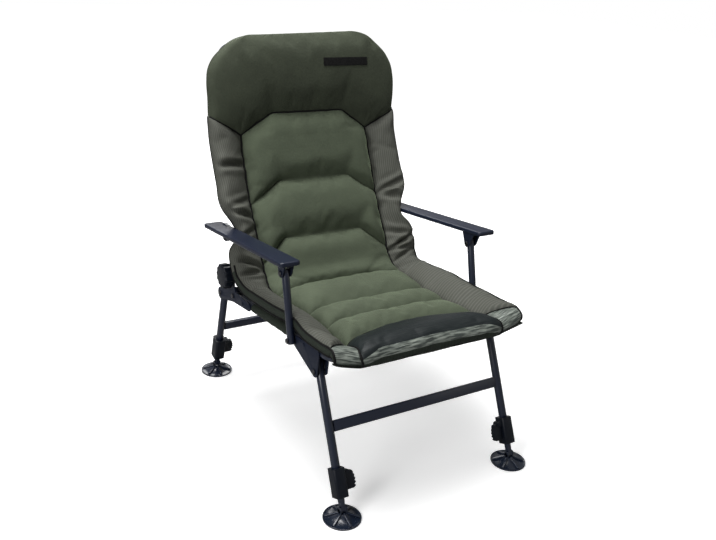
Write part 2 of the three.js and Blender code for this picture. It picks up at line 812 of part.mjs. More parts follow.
// The mud foot: a ribbed dish with two ears and the pin on which the leg tilts
function foot() {
  const radius = footDiameter / 2;
  const dish = new THREE.LatheGeometry([
    [0, 0], [radius - footRim / 2, 0], [radius, footRim / 2], [radius, footRim],
    [radius * footShoulderShare, footRim * footShoulderRise],
    [footHubRadius * footFilletShare, footHubHeight * footFilletRise],
    [footHubRadius, footHubHeight], [0, footHubHeight],
  ].map(([r, z]) => new THREE.Vector2(r, z)), footFacets);
  dish.rotateX(Math.PI / 2);
  const ribs = Array.from({ length: footRibs }, (_, i) => {
    const rib = sideProfile([
      [footHubRadius - overrun, footRim],
      [radius * footRibEndShare, footRim],
      [radius * footShoulderShare, footRim * footShoulderRise + footRibHeight],
      [footHubRadius - overrun, footHubHeight - pinGap],
    ], -footRibWidth / 2, footRibWidth / 2);
    rib.rotateZ(((2 * i + 1) / footRibs) * Math.PI);
    return rib;
  });
  const earInner = tongueThickness / 2 + seatGap;
  const ear = (fromX) => joined(
    rodX(footEarRadius, fromX, fromX + footEar, 0, footPinHeight),
    block(fromX, fromX + footEar, -footEarRadius, footEarRadius, footHubHeight - overrun, footPinHeight),
  );
  return joined(
    dish, ...ribs, ear(earInner), ear(-earInner - footEar),
    rodX(footPinRadius, -earInner - footEar, earInner + footEar, 0, footPinHeight),
  );
}

function crossbar(end) {
  const outer = roundedRectangle(crossbarThickness, crossbarHeight, crossbarThickness / 4);
  const innerWidth = crossbarThickness - 2 * crossbarWall;
  const innerHeight = crossbarHeight - 2 * crossbarWall;
  const inner = roundedRectangle(innerWidth, innerHeight, crossbarThickness / 4 - crossbarWall / 2);
  outer.holes.push(new THREE.Path(inner.getPoints(3).reverse()));
  const bar = new THREE.ExtrudeGeometry(outer, { depth: 2 * end, bevelEnabled: false, curveSegments: 3 });
  const across = new THREE.Matrix4().makeBasis(
    new THREE.Vector3(0, 1, 0), new THREE.Vector3(0, 0, 1), new THREE.Vector3(1, 0, 0));
  bar.applyMatrix4(across);
  bar.translate(-end, 0, 0);
  return bar;
}

function legPair(pair, pivotY, pivotZ, turn, topReach, footY, crossbarZ) {
  const footReach = (pivotZ - footPinHeight) / Math.cos(turn);
  const housingTop = footReach - housingFootGap - housingLength;
  const hanger = new THREE.Group();
  hanger.position.set(0, pivotY, pivotZ);
  hanger.rotation.x = turn;
  chair.add(hanger);
  for (const [label, side] of sides) {
    const leg = new THREE.Group();
    leg.position.x = side * railTrack;
    hanger.add(leg);
    place(`${pair}_leg_${label}`, onSide(legTube(housingTop, topReach), side), steel, leg);
    place(`${pair}_lock_${label}`, onSide(housing(housingTop), side), plastic, leg);
    place(`${pair}_lever_${label}`, onSide(lever(housingTop), side), plastic, leg);
    place(`${pair}_inner_leg_${label}`, onSide(innerLeg(footReach), side), steel, leg);
    const dish = place(`${pair}_foot_${label}`, foot(), plastic);
    dish.position.set(side * railTrack, footY, 0);
  }
  const bar = place(`${pair}_crossbar`, crossbar(railTrack - legRadius - seatGap), steel, hanger);
  bar.position.z = -(pivotZ - crossbarZ) / Math.cos(turn);
}

// Padding: rings of points lofted into one closed cushion
function loft(rings) {
  const count = rings[0].length;
  const positions = rings.flat(2);
  const faces = [];
  for (let r = 0; r < rings.length - 1; r += 1) {
    for (let i = 0; i < count; i += 1) {
      const a = r * count + i;
      const b = r * count + ((i + 1) % count);
      faces.push(a, b, b + count, a, b + count, a + count);
    }
  }
  const last = (rings.length - 1) * count;
  for (let i = 1; i < count - 1; i += 1) {
    faces.push(0, i + 1, i, last, last + i, last + i + 1);
  }
  const geometry = new THREE.BufferGeometry();
  geometry.setAttribute('position', new THREE.Float32BufferAttribute(positions, 3));
  geometry.setIndex(faces);
  return geometry;
}

const mix = (a, b, share) => a + (b - a) * share;

const spread = (from, to, count) => Array.from({ length: count }, (_, i) => mix(from, to, i / (count - 1)));

// Reads a table of [share, value share] pairs, in straight or smooth steps
function alongShares(table, at, smooth = false) {
  const next = table.findIndex(([share]) => share >= at);
  if (next === 0 || next < 0) {
    return table.at(next)[1];
  }
  const [from, to] = [table[next - 1], table[next]];
  const share = (at - from[0]) / (to[0] - from[0]);
  return mix(from[1], to[1], smooth ? share * share * (3 - 2 * share) : share);
}

// Back cushion: its outline, and the shares that place its sewn lines on it
const cushionReach = 36;
const cushionHalfWidth = railTrack + cushionReach;
const sideSeamX = 194;
const backCushionLowY = 288;
const backCushionLowZ = 346;
const backCushionTopY = 511;
const backCushionRise = 37;
const backCushionTopZ = backTopZ + backCushionRise;
const shoulderZ = 850;
const crownHalfWidth = 155;
const armPinchZ = 491;
const armPinchHalf = 19;
const armPinchFade = 17;
const armPinchGap = 2;
const backPuff = 20;
const sidePuff = 9;
const grooveWidth = 20;
const backMaxDepth = 38;
const backEdgeDepth = 22;
const curlDepth = 33;
// [share of the height, share of the setback] along the side seam
const seamShares = [
  [0, 0], [0.106, 0.17], [0.324, 0.493], [0.422, 0.614], [0.596, 0.807], [0.715, 0.879], [1, 1],
];
// [share of the height, share of the curl] along the outer edge
const curlShares = [
  [0, 0.24], [0.074, 0.36], [0.213, 0.97], [0.283, 1], [0.398, 0.79], [0.517, 0.64], [0.593, 0.48],
  [0.675, 0.06], [1, 0],
];
// [share of the half-width, share of the height] along each channel
const headChannelShares = [[0, 0.68], [0.384, 0.675], [0.683, 0.589], [1, 0.672]];
const ribChannelShares = [[0, 0.404], [0.374, 0.399], [0.701, 0.312]];
const lumbarChannelShares = [[0, 0.18], [0.42, 0.176], [0.694, 0.1]];
const shoulderPower = 1.25;

const backHeight = backCushionTopZ - backCushionLowZ;
const backShare = (z) => (z - backCushionLowZ) / backHeight;
const seamY = (z) => mix(backCushionLowY, backCushionTopY, alongShares(seamShares, backShare(z)));
const curl = (z) => curlDepth * alongShares(curlShares, backShare(z), true);
const channelShare = (shares, out) => alongShares(shares, out / cushionHalfWidth);
const channelZ = (shares, out) => backCushionLowZ + backHeight * channelShare(shares, out);

function groove(distance) {
  return 1 - Math.exp(-((distance / grooveWidth) ** 2));
}

function backHalfWidth(z) {
  const fromArm = Math.abs(z - armPinchZ);
  const pinch = THREE.MathUtils.smoothstep(fromArm, armPinchHalf, armPinchHalf + armPinchFade);
  const pinched = mix(armInnerX - armPinchGap, cushionHalfWidth, pinch);
  const shoulder = THREE.MathUtils.clamp((z - shoulderZ) / (backCushionTopZ - shoulderZ), 0, 1);
  return Math.min(pinched, mix(cushionHalfWidth, crownHalfWidth, shoulder ** shoulderPower));
}

function backFront(x, z) {
  const out = Math.abs(x);
  const beyond = Math.max(0, (out - sideSeamX) / (cushionHalfWidth - sideSeamX));
  const onHead = z > channelZ(headChannelShares, out);
  const inMiddle = out < sideSeamX || onHead;
  const channels = [headChannelShares, ribChannelShares, lumbarChannelShares]
    .map((shares) => Math.abs(z - channelZ(shares, out)));
  const toSeam = onHead ? Infinity : Math.abs(out - sideSeamX);
  const toEdge = Math.min(backHalfWidth(z) - out, backCushionTopZ - z) + grooveWidth / 3;
  const depth = inMiddle ? backPuff : sidePuff;
  const swell = depth * groove(Math.min(...(inMiddle ? channels : []), toSeam)) * groove(toEdge);
  return seamY(z) - curl(z) * beyond - swell;
}

function backRear(x, z) {
  const onTube = backTubeY(z) - frameRadius - 2 * seatGap - frameTubeWall;
  const flat = Math.min(seamY(z) + backMaxDepth, onTube);
  const beyond = THREE.MathUtils.smoothstep(Math.abs(x), backTrack + frameRadius / 2, cushionHalfWidth);
  return mix(flat, seamY(z) - curl(z) + backEdgeDepth / 2, beyond);
}

// Shares of the half-width at which a ring has its points
const backFrontShares = [1, 0.93, 0.82, 0.73, 0.69, 0.65, 0.54, 0.38, 0.19];
const backRearShares = [0.95, 0.78, 0.45];

function bothWays(shares) {
  return [...shares.map((share) => -share), ...[...shares].reverse()];
}

function backRing(z) {
  const half = backHalfWidth(z);
  const along = (shares, surfaceY) => shares.map((share) => share * half).map((x) => [x, surfaceY(x, z), z]);
  const front = along(bothWays(backFrontShares), backFront);
  const rear = along(bothWays(backRearShares).reverse(), backRear);
  return [...front, ...rear];
}

// Seat cushion
const seatCushionFrontY = -189;
const seatCushionRearY = 262;
const seatHalfWidth = outerPlateX - seatGap;
const seatSeamX = 180;
const seatSeamZ = 366;
const seatSeamDrop = 16;
const seatCrestZ = 394;
const seatCrestDrop = 28;
const seatPuff = 13;
const slingSag = 38;
const slingThickness = 2;
const seatLipZ = 346;
const seatLipY = seatFrontY - frameRadius - seatGap;
// [share of the length, share of the drop] along the middle and along the side panels' crest
const seatSeamShares = [
  [0, 0.625], [0.038, -1], [0.109, -0.75], [0.2, -0.2], [0.308, 0], [0.435, 0], [0.612, 0.375], [1, 0.875],
];
const seatCrestShares = [
  [0, 0.786], [0.047, 0.07], [0.109, 0], [0.468, 0], [0.665, 0.357], [0.867, 0.786], [1, 0.95],
];
const seatChannelShares = [0.237, 0.435, 0.612];
const crestShare = 0.62;
const crestFallShare = 0.35;

const seatLength = seatCushionRearY - seatCushionFrontY;
const seatShare = (y) => (y - seatCushionFrontY) / seatLength;
const slingZ = (x, y) => railZ(y) - slingSag * (1 - (x / (railTrack - frameRadius)) ** 2);

function seatTop(x, y) {
  const out = Math.abs(x);
  const middle = seatSeamZ - seatSeamDrop * alongShares(seatSeamShares, seatShare(y), true);
  if (out <= seatSeamX) {
    const bow = grooveWidth * (out / seatSeamX) ** 2;
    const inward = y - seatCushionFrontY;
    const channels = seatChannelShares.map((share) => Math.abs(inward - share * seatLength + bow));
    return middle + seatPuff * groove(Math.min(...channels, seatSeamX - out)) * groove(inward);
  }
  const crest = seatCrestZ - seatCrestDrop * alongShares(seatCrestShares, seatShare(y), true);
  const share = (out - seatSeamX) / (seatHalfWidth - seatSeamX);
  const rise = Math.sin(Math.PI / 2 * Math.min(1, share / crestShare));
  const fall = 1 - crestFallShare * Math.max(0, share - crestShare) / (1 - crestShare);
  return mix(middle, crest, rise * fall);
}

function seatBottom(x, y) {
  const out = Math.abs(x);
  if (y < seatLipY) {
    return seatLipZ + (out / seatHalfWidth) ** 4 * frameRadius;
  }
  const overFrame = y < seatFrontY + frameRadius + seatGap || out >= slingHalf(y);
  return overFrame ? railZ(y) + frameRadius + seatGap : slingZ(x, y) + slingThickness + 3 * seatGap;
}

const seatTopShares = [1, 0.93, 0.84, 0.76, 0.7, 0.67, 0.55, 0.38, 0.19];
const seatBottomShares = [1, 0.985, 0.65, 0.3];
const seatEdgeShare = 0.98;

function seatRing(y) {
  const top = bothWays(seatTopShares)
    .map((share) => [share * seatHalfWidth, y, seatTop(share * seatHalfWidth, y)]);
  const hang = slingHalf(Math.max(y, slingFrontY));
  const below = [seatEdgeShare * seatHalfWidth, ...seatBottomShares.map((share) => share * hang)];
  const bottom = bothWays(below).reverse().map((x) => [x, y, seatBottom(x, y)]);
  return [...top, ...bottom];
}

function seatCushion() {
  const lip = [seatCushionFrontY, mix(seatCushionFrontY, seatLipY, 0.5), seatLipY - seatGap];
  const behind = seatFrontY + frameRadius + seatGap;
  const onTube = [seatLipY + seatGap / 2, behind - seatGap];
  return loft([...lip, ...onTube, ...spread(behind + seatGap, seatCushionRearY, 20)].map(seatRing));
}

// Suspension sheets: cloth stretched between the tubes
const slingRearY = 285;
const slingEdge = innerPlateX - seatGap;
const slingFrontY = seatFrontY + frameRadius + seatGap;
const slingStartY = seatFrontY + frameBendRadius;
const backSlingLowZ = 385;
const backSlingStepZ = 478;
const backSlingDrop = 60;
const backSlingHighZ = backTopZ - backSlingDrop;

// The seat sheet narrows round the rails' front corners
function slingHalf(y) {
  const centreX = railTrack - frameBendRadius;
  const inner = frameBendRadius - frameRadius - seatGap;
  const ahead = Math.min(inner, Math.max(0, slingStartY - y));
  return Math.min(slingEdge, centreX + Math.sqrt(inner ** 2 - ahead ** 2));
}

function sheet(rows, columns, pointAt) {
  return loft(rows.map((row) => [
    ...columns.map((column) => pointAt(column, row, slingThickness)),
    ...[...columns].reverse().map((column) => pointAt(column, row, 0)),
  ]));
}

function seatSling() {
  const rows = [...spread(slingFrontY, slingStartY, 5), ...spread(slingStartY, slingRearY, 5).slice(1)];
  return sheet(rows, spread(-1, 1, 9), (share, y, lift) => {
    const x = share * slingHalf(y);
    return [x, y, slingZ(x, y) + lift];
  });
}

function backSling() {
  const full = backTrack - frameRadius - seatGap;
  const hemmed = full - boltHeadHeight - seatGap;
  const wideRows = spread(backSlingStepZ + grooveWidth, backSlingHighZ, 9);
  const rows = [...spread(backSlingLowZ, backSlingStepZ, 4), ...wideRows];
  return sheet(rows, spread(-1, 1, 3), (share, z, lift) => [
    share * (z > backSlingStepZ ? full : hemmed), backTubeY(z) - frameRadius / 2 + lift, z,
  ]);
}

function padding() {
  place('back_cushion', loft(spread(backCushionLowZ, backCushionTopZ, 31).map(backRing)), fleece);
  place('seat_cushion', seatCushion(), fleece);
  place('seat_sling', seatSling(), webbing);
  place('back_sling', backSling(), webbing);
}

seatFrame();
brackets();
backFrame();
arms();
legPair('front', frontLegPivotY, frontLegPivotZ, -frontLegLean, frontLegTop, frontFootY, frontCrossbarZ);
legPair('rear', rearLegPivotY, rearLegPivotZ, rearLegLean, rearLegTop, rearFootY, rearCrossbarZ);
padding();

// The origin lies on the ground under the middle of the chair's box
const frontReach = frontFootY - footDiameter / 2;
const rearReach = backTubeY(backTopZ) + frameRadius;
chair.position.y = -(frontReach + rearReach) / 2;

export default chair;
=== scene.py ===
# Looks of the fishing chair: a padded mattress, a painted tube frame, moulded fittings and feet.
# Metres, +Z up, the sitter faces -Y. Drawn places count Y from the foot of the arm posts, as the
# frame's own drawing does, and ZERO_Y moves them into the frame's place.
import math

import bmesh
import bpy
import numpy as np
from bpy.props import FloatProperty, FloatVectorProperty, IntProperty, PointerProperty
from mathutils import Matrix, Vector, noise


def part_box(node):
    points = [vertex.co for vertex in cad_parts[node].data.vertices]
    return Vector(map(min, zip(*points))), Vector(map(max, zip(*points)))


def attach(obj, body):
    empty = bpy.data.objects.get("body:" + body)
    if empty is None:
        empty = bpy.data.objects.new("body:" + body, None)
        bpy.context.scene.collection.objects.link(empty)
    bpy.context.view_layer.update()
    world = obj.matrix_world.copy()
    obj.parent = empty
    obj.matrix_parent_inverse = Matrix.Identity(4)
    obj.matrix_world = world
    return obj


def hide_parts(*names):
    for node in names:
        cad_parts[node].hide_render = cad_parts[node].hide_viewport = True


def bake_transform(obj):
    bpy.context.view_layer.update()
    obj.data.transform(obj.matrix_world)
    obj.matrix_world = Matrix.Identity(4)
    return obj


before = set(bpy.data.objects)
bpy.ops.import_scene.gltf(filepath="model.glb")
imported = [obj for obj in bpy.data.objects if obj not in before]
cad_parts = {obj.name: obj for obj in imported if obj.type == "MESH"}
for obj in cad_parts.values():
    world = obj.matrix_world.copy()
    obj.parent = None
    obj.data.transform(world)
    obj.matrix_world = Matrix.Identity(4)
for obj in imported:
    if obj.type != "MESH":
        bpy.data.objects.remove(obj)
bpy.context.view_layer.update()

bl_info = {
    "name": "Fishing Chair",
    "version": (1, 0, 0),
    "blender": (4, 5, 0),
    "location": "3D View > Sidebar > Chair",
    "description": "Pieces and finishes of a folding recliner chair for the bank side",
    "category": "Add Mesh",
}

WELD = 1e-6
TUBE_SIDES = 32
SPIN_STEP = math.radians(7)

# Places taken from the frame
FRONT_TUBE_Y = -0.160
ZERO_Y = sum(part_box("seat_front_tube"), Vector()).y / 2 - FRONT_TUBE_Y
SIDES = (("left", -1), ("right", 1))
PAIRS = ("front", "rear")


def at(x, y, z):
    return Vector((x, y + ZERO_Y, z))


def middle(node):
    low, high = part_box(node)
    return (low + high) / 2


def size(node):
    low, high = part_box(node)
    return high - low


def metres(name, description, default):
    return FloatProperty(name=name, description=description, default=default, unit="LENGTH")


def tint(name, description, default):
    return FloatVectorProperty(name=name, description=description, default=default, subtype="COLOR")


class MattressSizes(bpy.types.PropertyGroup):
    cell: metres("Cell", "Spacing of the mattress's grid", 0.0072)
    crease: metres("Crease", "Distance from a sewn line to the rows beside it", 0.0028)
    pad_rise: metres("Pad rise", "Height of the sewn pads above their seams", 0.024)
    seat_rise: metres("Seat rise", "Height of the seat's pads", 0.019)
    head_rise: metres("Head rise", "Height of the head pad", 0.020)
    side_rise: metres("Side rise", "Height of the woven side panels", 0.016)
    gather: metres("Gather", "Depth of the folds in the side panels", 0.012)
    swell: metres("Swell limit", "Farthest that the simulation moves a point", 0.011)
    pressure: FloatProperty(name="Pressure", description="Air pressure in the cloth simulation", default=4.0)
    frames: IntProperty(name="Frames", description="Length of the cloth simulation", default=20)
    binding: metres("Binding", "Radius of the black binding along the seams", 0.0026)
    edging: metres("Edging", "Radius of the piping along the outer edges", 0.0027)
    label_width: metres("Label width", "Width of the bare label", 0.138)
    label_height: metres("Label height", "Height of the bare label", 0.0215)


class FrameSizes(bpy.types.PropertyGroup):
    bend: metres("Bend", "Radius of the tubes' bends on their middle line", 0.045)
    post_radius: metres("Post radius", "Radius of the arm posts", 0.009)
    leg_radius: metres("Leg radius", "Radius of the outer leg tubes", 0.010)
    inner_radius: metres("Inner leg radius", "Radius of the sliding leg tubes", 0.008)
    edge: metres("Edge", "Rounding of the pressed and moulded edges", 0.0007)
    arm_thickness: metres("Arm thickness", "Thickness of the armrests", 0.011)
    arm_slope: FloatProperty(
        name="Arm slope", description="Fall of the armrests to the rear", default=math.radians(6.95),
        subtype="ANGLE")


class Finishes(bpy.types.PropertyGroup):
    paint: tint("Paint", "Satin paint of the tubes", (0.009, 0.014, 0.032))
    black: tint("Black", "Moulded black of locks, levers and knobs", (0.003, 0.005, 0.010))
    arm: tint("Armrest", "Moulded armrests", (0.009, 0.013, 0.029))
    foot: tint("Foot", "Glossy feet", (0.009, 0.015, 0.031))
    fleece: tint("Fleece", "Fleece of the pads", (0.073, 0.090, 0.057))
    head: tint("Head fleece", "Darker fleece of the head pad", (0.040, 0.048, 0.030))
    woven: tint("Woven", "Shiny woven side panels", (0.094, 0.097, 0.082))
    nylon: tint("Nylon", "Front edge panel", (0.008, 0.012, 0.013))
    base: tint("Base", "Base cloth and slings", (0.027, 0.035, 0.026))


# Small modelling steps shared by the pieces
def clear_selection():
    if bpy.context.mode != "OBJECT":
        bpy.ops.object.mode_set(mode="OBJECT")
    bpy.ops.object.select_all(action="DESELECT")


def only(obj):
    clear_selection()
    obj.select_set(True)
    bpy.context.view_layer.objects.active = obj
    return obj


def settled(obj):
    """Moves a piece's place, turn and scale into its mesh."""
    only(obj)
    bpy.ops.object.transform_apply(location=True, rotation=True, scale=True)
    return obj


def opened(obj, action="SELECT"):
    """Opens a piece for editing."""
    only(obj)
    bpy.ops.object.mode_set(mode="EDIT")
    bpy.ops.mesh.select_all(action=action)


def closed():
    bpy.ops.object.mode_set(mode="OBJECT")


def picked(obj, kind, wanted, mode="VERT"):
    """Opens a piece for editing with the wanted vertices, edges or faces selected."""
    opened(obj, "DESELECT")
    bpy.ops.mesh.select_mode(type=mode)
    shape = bmesh.from_edit_mesh(obj.data)
    for part in getattr(shape, kind):
        part.select_set(wanted(part))
    bmesh.update_edit_mesh(obj.data)


def finished(obj, name, finish, angle=35):
    settled(obj)
    bpy.ops.object.shade_smooth_by_angle(angle=math.radians(angle))
    obj.name = name
    obj.data.name = name
    obj.data.materials.clear()
    obj.data.materials.append(finish)
    return obj


def cloth_layer(data):
    """The map of the cloth's own width and length."""
    layer = data.uv_layers[0] if data.uv_layers else data.uv_layers.new()
    layer.name = "Cloth"
    return layer


def lay_cloth(data, flat, turned=None):
    """Lays the map flat by vertex, with crosswise cloth on the turned corners."""
    layer = cloth_layer(data)
    spots = np.empty(len(data.loops), dtype=np.int64)
    data.loops.foreach_get("vertex_index", spots)
    places = flat[spots]
    if turned is not None:
        places[turned] = places[turned][:, ::-1] * CROSS_STRETCH
    layer.data.foreach_set("uv", places.astype(np.float32).ravel())


def own_copy(obj, name=None):
    """A copy with a mesh of its own, in the scene."""
    other = obj.copy()
    other.data = obj.data.copy()
    bpy.context.scene.collection.objects.link(other)
    if name:
        other.name = name
        other.data.name = name
    return other


def modified(obj, kind, **settings):
    only(obj)
    modifier = obj.modifiers.new(kind.title(), kind)
    for key, value in settings.items():
        setattr(modifier, key, value)
    bpy.ops.object.modifier_apply(modifier=modifier.name)
    return obj


def bevelled(obj, width, segments=2, angle=40):
    return modified(
        obj, "BEVEL", width=width, segments=segments, limit_method="ANGLE", angle_limit=math.radians(angle))


def joined(first, *others):
    only(first)
    for other in others:
        other.select_set(True)
    bpy.ops.object.join()
    return first


def outward(obj):
    opened(obj)
    bpy.ops.mesh.remove_doubles(threshold=WELD)
    bpy.ops.mesh.normals_make_consistent(inside=False)
    closed()
    return obj


def mirror_copy(obj, name):
    other = own_copy(obj, name)
    other.data.transform(Matrix.Scale(-1, 4, Vector((1, 0, 0))))
    other.data.flip_normals()
    return outward(other)


def on_body(obj, body, slot, *nodes):
    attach(obj, body)
    if nodes:
        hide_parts(*nodes)


def cylinder(start, end, radius, sides=TUBE_SIDES):
    along = end - start
    turn = along.to_track_quat("Z", "X").to_euler()
    clear_selection()
    bpy.ops.mesh.primitive_cylinder_add(
        vertices=sides, radius=radius, depth=along.length, location=(start + end) / 2, rotation=turn)
    return bpy.context.object


def block(low, high):
    clear_selection()
    bpy.ops.mesh.primitive_cube_add(size=1, location=(low + high) / 2, scale=high - low)
    return settled(bpy.context.object)


def bent_tube(corners, radius, bend):
    """A round tube through corners, pushed straight from bend to bend and spun round each."""
    heading = (corners[1] - corners[0]).normalized()
    clear_selection()
    bpy.ops.mesh.primitive_circle_add(
        vertices=TUBE_SIDES, radius=radius, fill_type="NOTHING", location=corners[0],
        rotation=heading.to_track_quat("Z", "X").to_euler())
    tube = settled(bpy.context.object)
    opened(tube)
    here = corners[0]
    for i in range(1, len(corners) - 1):
        corner = corners[i]
        toward = (corners[i - 1] - corner).normalized()
        onward = (corners[i + 1] - corner).normalized()
        half = toward.angle(onward) / 2
        reach = bend / math.tan(half)
        centre = corner + (toward + onward).normalized() * bend / math.sin(half)
        push(corner + toward * reach - here)
        turn = math.pi - 2 * half
        bpy.ops.mesh.spin(
            steps=max(3, round(turn / SPIN_STEP)), angle=-turn,
            center=centre, axis=(-toward).cross(onward).normalized())
        here = corner + onward * reach
    push(corners[-1] - here)
    bpy.ops.mesh.select_all(action="SELECT")
    bpy.ops.mesh.remove_doubles(threshold=WELD)
    bpy.ops.mesh.fill_holes(sides=0)
    bpy.ops.mesh.normals_make_consistent(inside=False)
    closed()
    return tube


def push(step):
    bpy.ops.mesh.extrude_region_move(TRANSFORM_OT_translate={"value": step})


def refined(node, width):
    """A welded copy of a frame node with its edges rounded."""
    copy = own_copy(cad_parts[node])
    copy.parent = None
    for key in [key for key in copy.keys() if key.startswith("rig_")]:
        del copy[key]
    copy.matrix_world = Matrix.Identity(4)
    opened(copy)
    bpy.ops.mesh.remove_doubles(threshold=WELD)
    bpy.ops.mesh.dissolve_limited(angle_limit=math.radians(1))
    closed()
    if width:
        bevelled(copy, width, angle=38)
    return copy


# Shader helpers
def feed(tree, node, values):
    """Links or sets the inputs of a shader node, and gives colours full alpha."""
    for key, value in values.items():
        socket = node.inputs[key]
        if isinstance(value, bpy.types.NodeSocket):
            tree.links.new(value, socket)
        elif socket.type == "RGBA":
            socket.default_value = (*value[:3], 1.0)
        else:
            socket.default_value = value
    return node


def add(tree, kind, values=None, **settings):
    made = tree.nodes.new(kind)
    for key, value in settings.items():
        setattr(made, key, value)
    return feed(tree, made, values or {})


def calc(tree, operation, *values):
    return add(tree, "ShaderNodeMath", dict(enumerate(values)), operation=operation).outputs[0]


def blended(tree, share, first, second):
    return add(tree, "ShaderNodeMix", {0: share, 6: first, 7: second}, data_type="RGBA").outputs[2]


def clouds(tree, place, scale, detail, **more):
    """Noise over a place, with more of its inputs by name."""
    values = {"Vector": place, "Scale": scale, "Detail": detail, **more}
    return add(tree, "ShaderNodeTexNoise", values).outputs["Fac"]


def ranged(tree, value, low, high, start=0.0, end=1.0):
    return add(tree, "ShaderNodeMapRange", {0: value, 1: low, 2: high, 3: start, 4: end}).outputs[0]


def own_place(tree):
    return add(tree, "ShaderNodeTexCoord").outputs["Object"]


def cloth_place(tree):
    return add(tree, "ShaderNodeUVMap", uv_map="Cloth").outputs["UV"]


SOCKETS = {"colour": "NodeSocketColor", "value": "NodeSocketFloat", "place": "NodeSocketVector"}


def effect(name, inputs, outputs, build):
    """A shader group; inputs and outputs are (name, kind, default) and (name, kind)."""
    tree = bpy.data.node_groups.new(name, "ShaderNodeTree")
    for label, kind, start in inputs:
        socket = tree.interface.new_socket(label, in_out="INPUT", socket_type=SOCKETS[kind])
        if start is not None:
            socket.default_value = (*start, 1.0) if kind == "colour" else start
    for label, kind in outputs:
        tree.interface.new_socket(label, in_out="OUTPUT", socket_type=SOCKETS[kind])
    source = tree.nodes.new("NodeGroupInput").outputs
    target = tree.nodes.new("NodeGroupOutput").inputs
    for label, value in build(tree, source).items():
        tree.links.new(value, target[label])
    return tree


def surface(name, build):
    made = bpy.data.materials.new(name)
    made.use_nodes = True
    tree = made.node_tree
    shader = tree.nodes["Principled BSDF"]
    build(tree, shader)
    return made


def use(tree, group, values):
    return add(tree, "ShaderNodeGroup", values, node_tree=group).outputs


def bumped(tree, shader, height, strength, distance):
    bump = add(tree, "ShaderNodeBump", {"Height": height, "Strength": strength, "Distance": distance})
    tree.links.new(bump.outputs["Normal"], shader.inputs["Normal"])


def grain_group():
    """Fine grain with soft clouding, for paint and moulded plastic."""
    def build(tree, source):
        place = own_place(tree)
        broad = clouds(tree, place, 14.0, 4.0)
        scuff = clouds(tree, place, 95.0, 6.0, Roughness=0.7)
        worn = calc(tree, "MULTIPLY", ranged(tree, scuff, 0.62, 0.74), source["Wear"])
        clouding = calc(tree, "MULTIPLY", broad, source["Clouding"])
        clouded = blended(tree, clouding, source["Colour"], source["Second colour"])
        spread = calc(tree, "MULTIPLY_ADD", broad, source["Roughness spread"], source["Roughness"])
        return {
            "Colour": blended(tree, worn, clouded, (0.09, 0.09, 0.095)),
            "Roughness": calc(tree, "MULTIPLY_ADD", worn, 0.25, spread),
            "Height": clouds(tree, place, source["Scale"], 3.0)}
    return effect(
        "Grain and wear",
        [("Colour", "colour", (0.02, 0.02, 0.02)), ("Second colour", "colour", (0.03, 0.03, 0.03)),
         ("Scale", "value", 900.0), ("Clouding", "value", 0.6), ("Roughness", "value", 0.4),
         ("Roughness spread", "value", 0.1), ("Wear", "value", 0.3)],
        [("Colour", "colour"), ("Roughness", "value"), ("Height", "value")], build)


def weave_group():
    """Threads along the cloth's own length and width, with stripes every few threads."""
    def build(tree, source):
        parts = add(tree, "ShaderNodeSeparateXYZ", {0: cloth_place(tree)}).outputs

        def waves(part, count):
            turns = calc(tree, "MULTIPLY", source[count], math.tau)
            return calc(tree, "SINE", calc(tree, "MULTIPLY", parts[part], turns))

        threads = [calc(tree, "ADD", waves(part, "Threads"), 1.3) for part in (0, 1)]
        height = calc(tree, "MULTIPLY", *threads)
        stripe = ranged(tree, waves(0, "Stripes"), -0.2, 0.75)
        cloud = clouds(tree, own_place(tree), 9.0, 5.0)
        share = calc(tree, "MULTIPLY", stripe, source["Stripe strength"])
        striped = blended(tree, share, source["Colour"], source["Stripe colour"])
        return {
            "Colour": blended(tree, calc(tree, "MULTIPLY", cloud, 0.35), striped, source["Shade colour"]),
            "Roughness": calc(tree, "MULTIPLY_ADD", cloud, 0.12, source["Roughness"]),
            "Height": calc(tree, "MULTIPLY", height, 0.2)}
    return effect(
        "Woven cloth",
        [("Colour", "colour", (0.1, 0.1, 0.08)), ("Stripe colour", "colour", (0.2, 0.2, 0.17)),
         ("Shade colour", "colour", (0.04, 0.04, 0.03)), ("Threads", "value", 900.0),
         ("Stripes", "value", 240.0), ("Stripe strength", "value", 0.6), ("Roughness", "value", 0.4)],
        [("Colour", "colour"), ("Roughness", "value"), ("Height", "value")], build)


def crinkle_group():
    """Creases of a gathered hem, drawn out along the cloth's width, with a painted highlight on their ridges.
    """
    def build(tree, source):
        place = cloth_place(tree)
        drawn = add(tree, "ShaderNodeMapping", {"Vector": place, "Scale": (26.0, 330.0, 1.0)}).outputs[0]
        crease = clouds(tree, drawn, 1.0, 3.0, Distortion=0.25)
        # The light colour laid on the crease ridges is a painted highlight
        share = calc(tree, "MULTIPLY", ranged(tree, crease, 0.42, 0.66), source["Streaks"])
        return {
            "Colour": blended(tree, share, source["Colour"], source["Streak colour"]),
            "Height": calc(tree, "MULTIPLY_ADD", clouds(tree, place, 90.0, 3.0), 0.35, crease)}
    return effect(
        "Gathered creases",
        [("Colour", "colour", (0.02, 0.02, 0.02)), ("Streak colour", "colour", (0.1, 0.1, 0.1)),
         ("Streaks", "value", 0.5)],
        [("Colour", "colour"), ("Height", "value")], build)


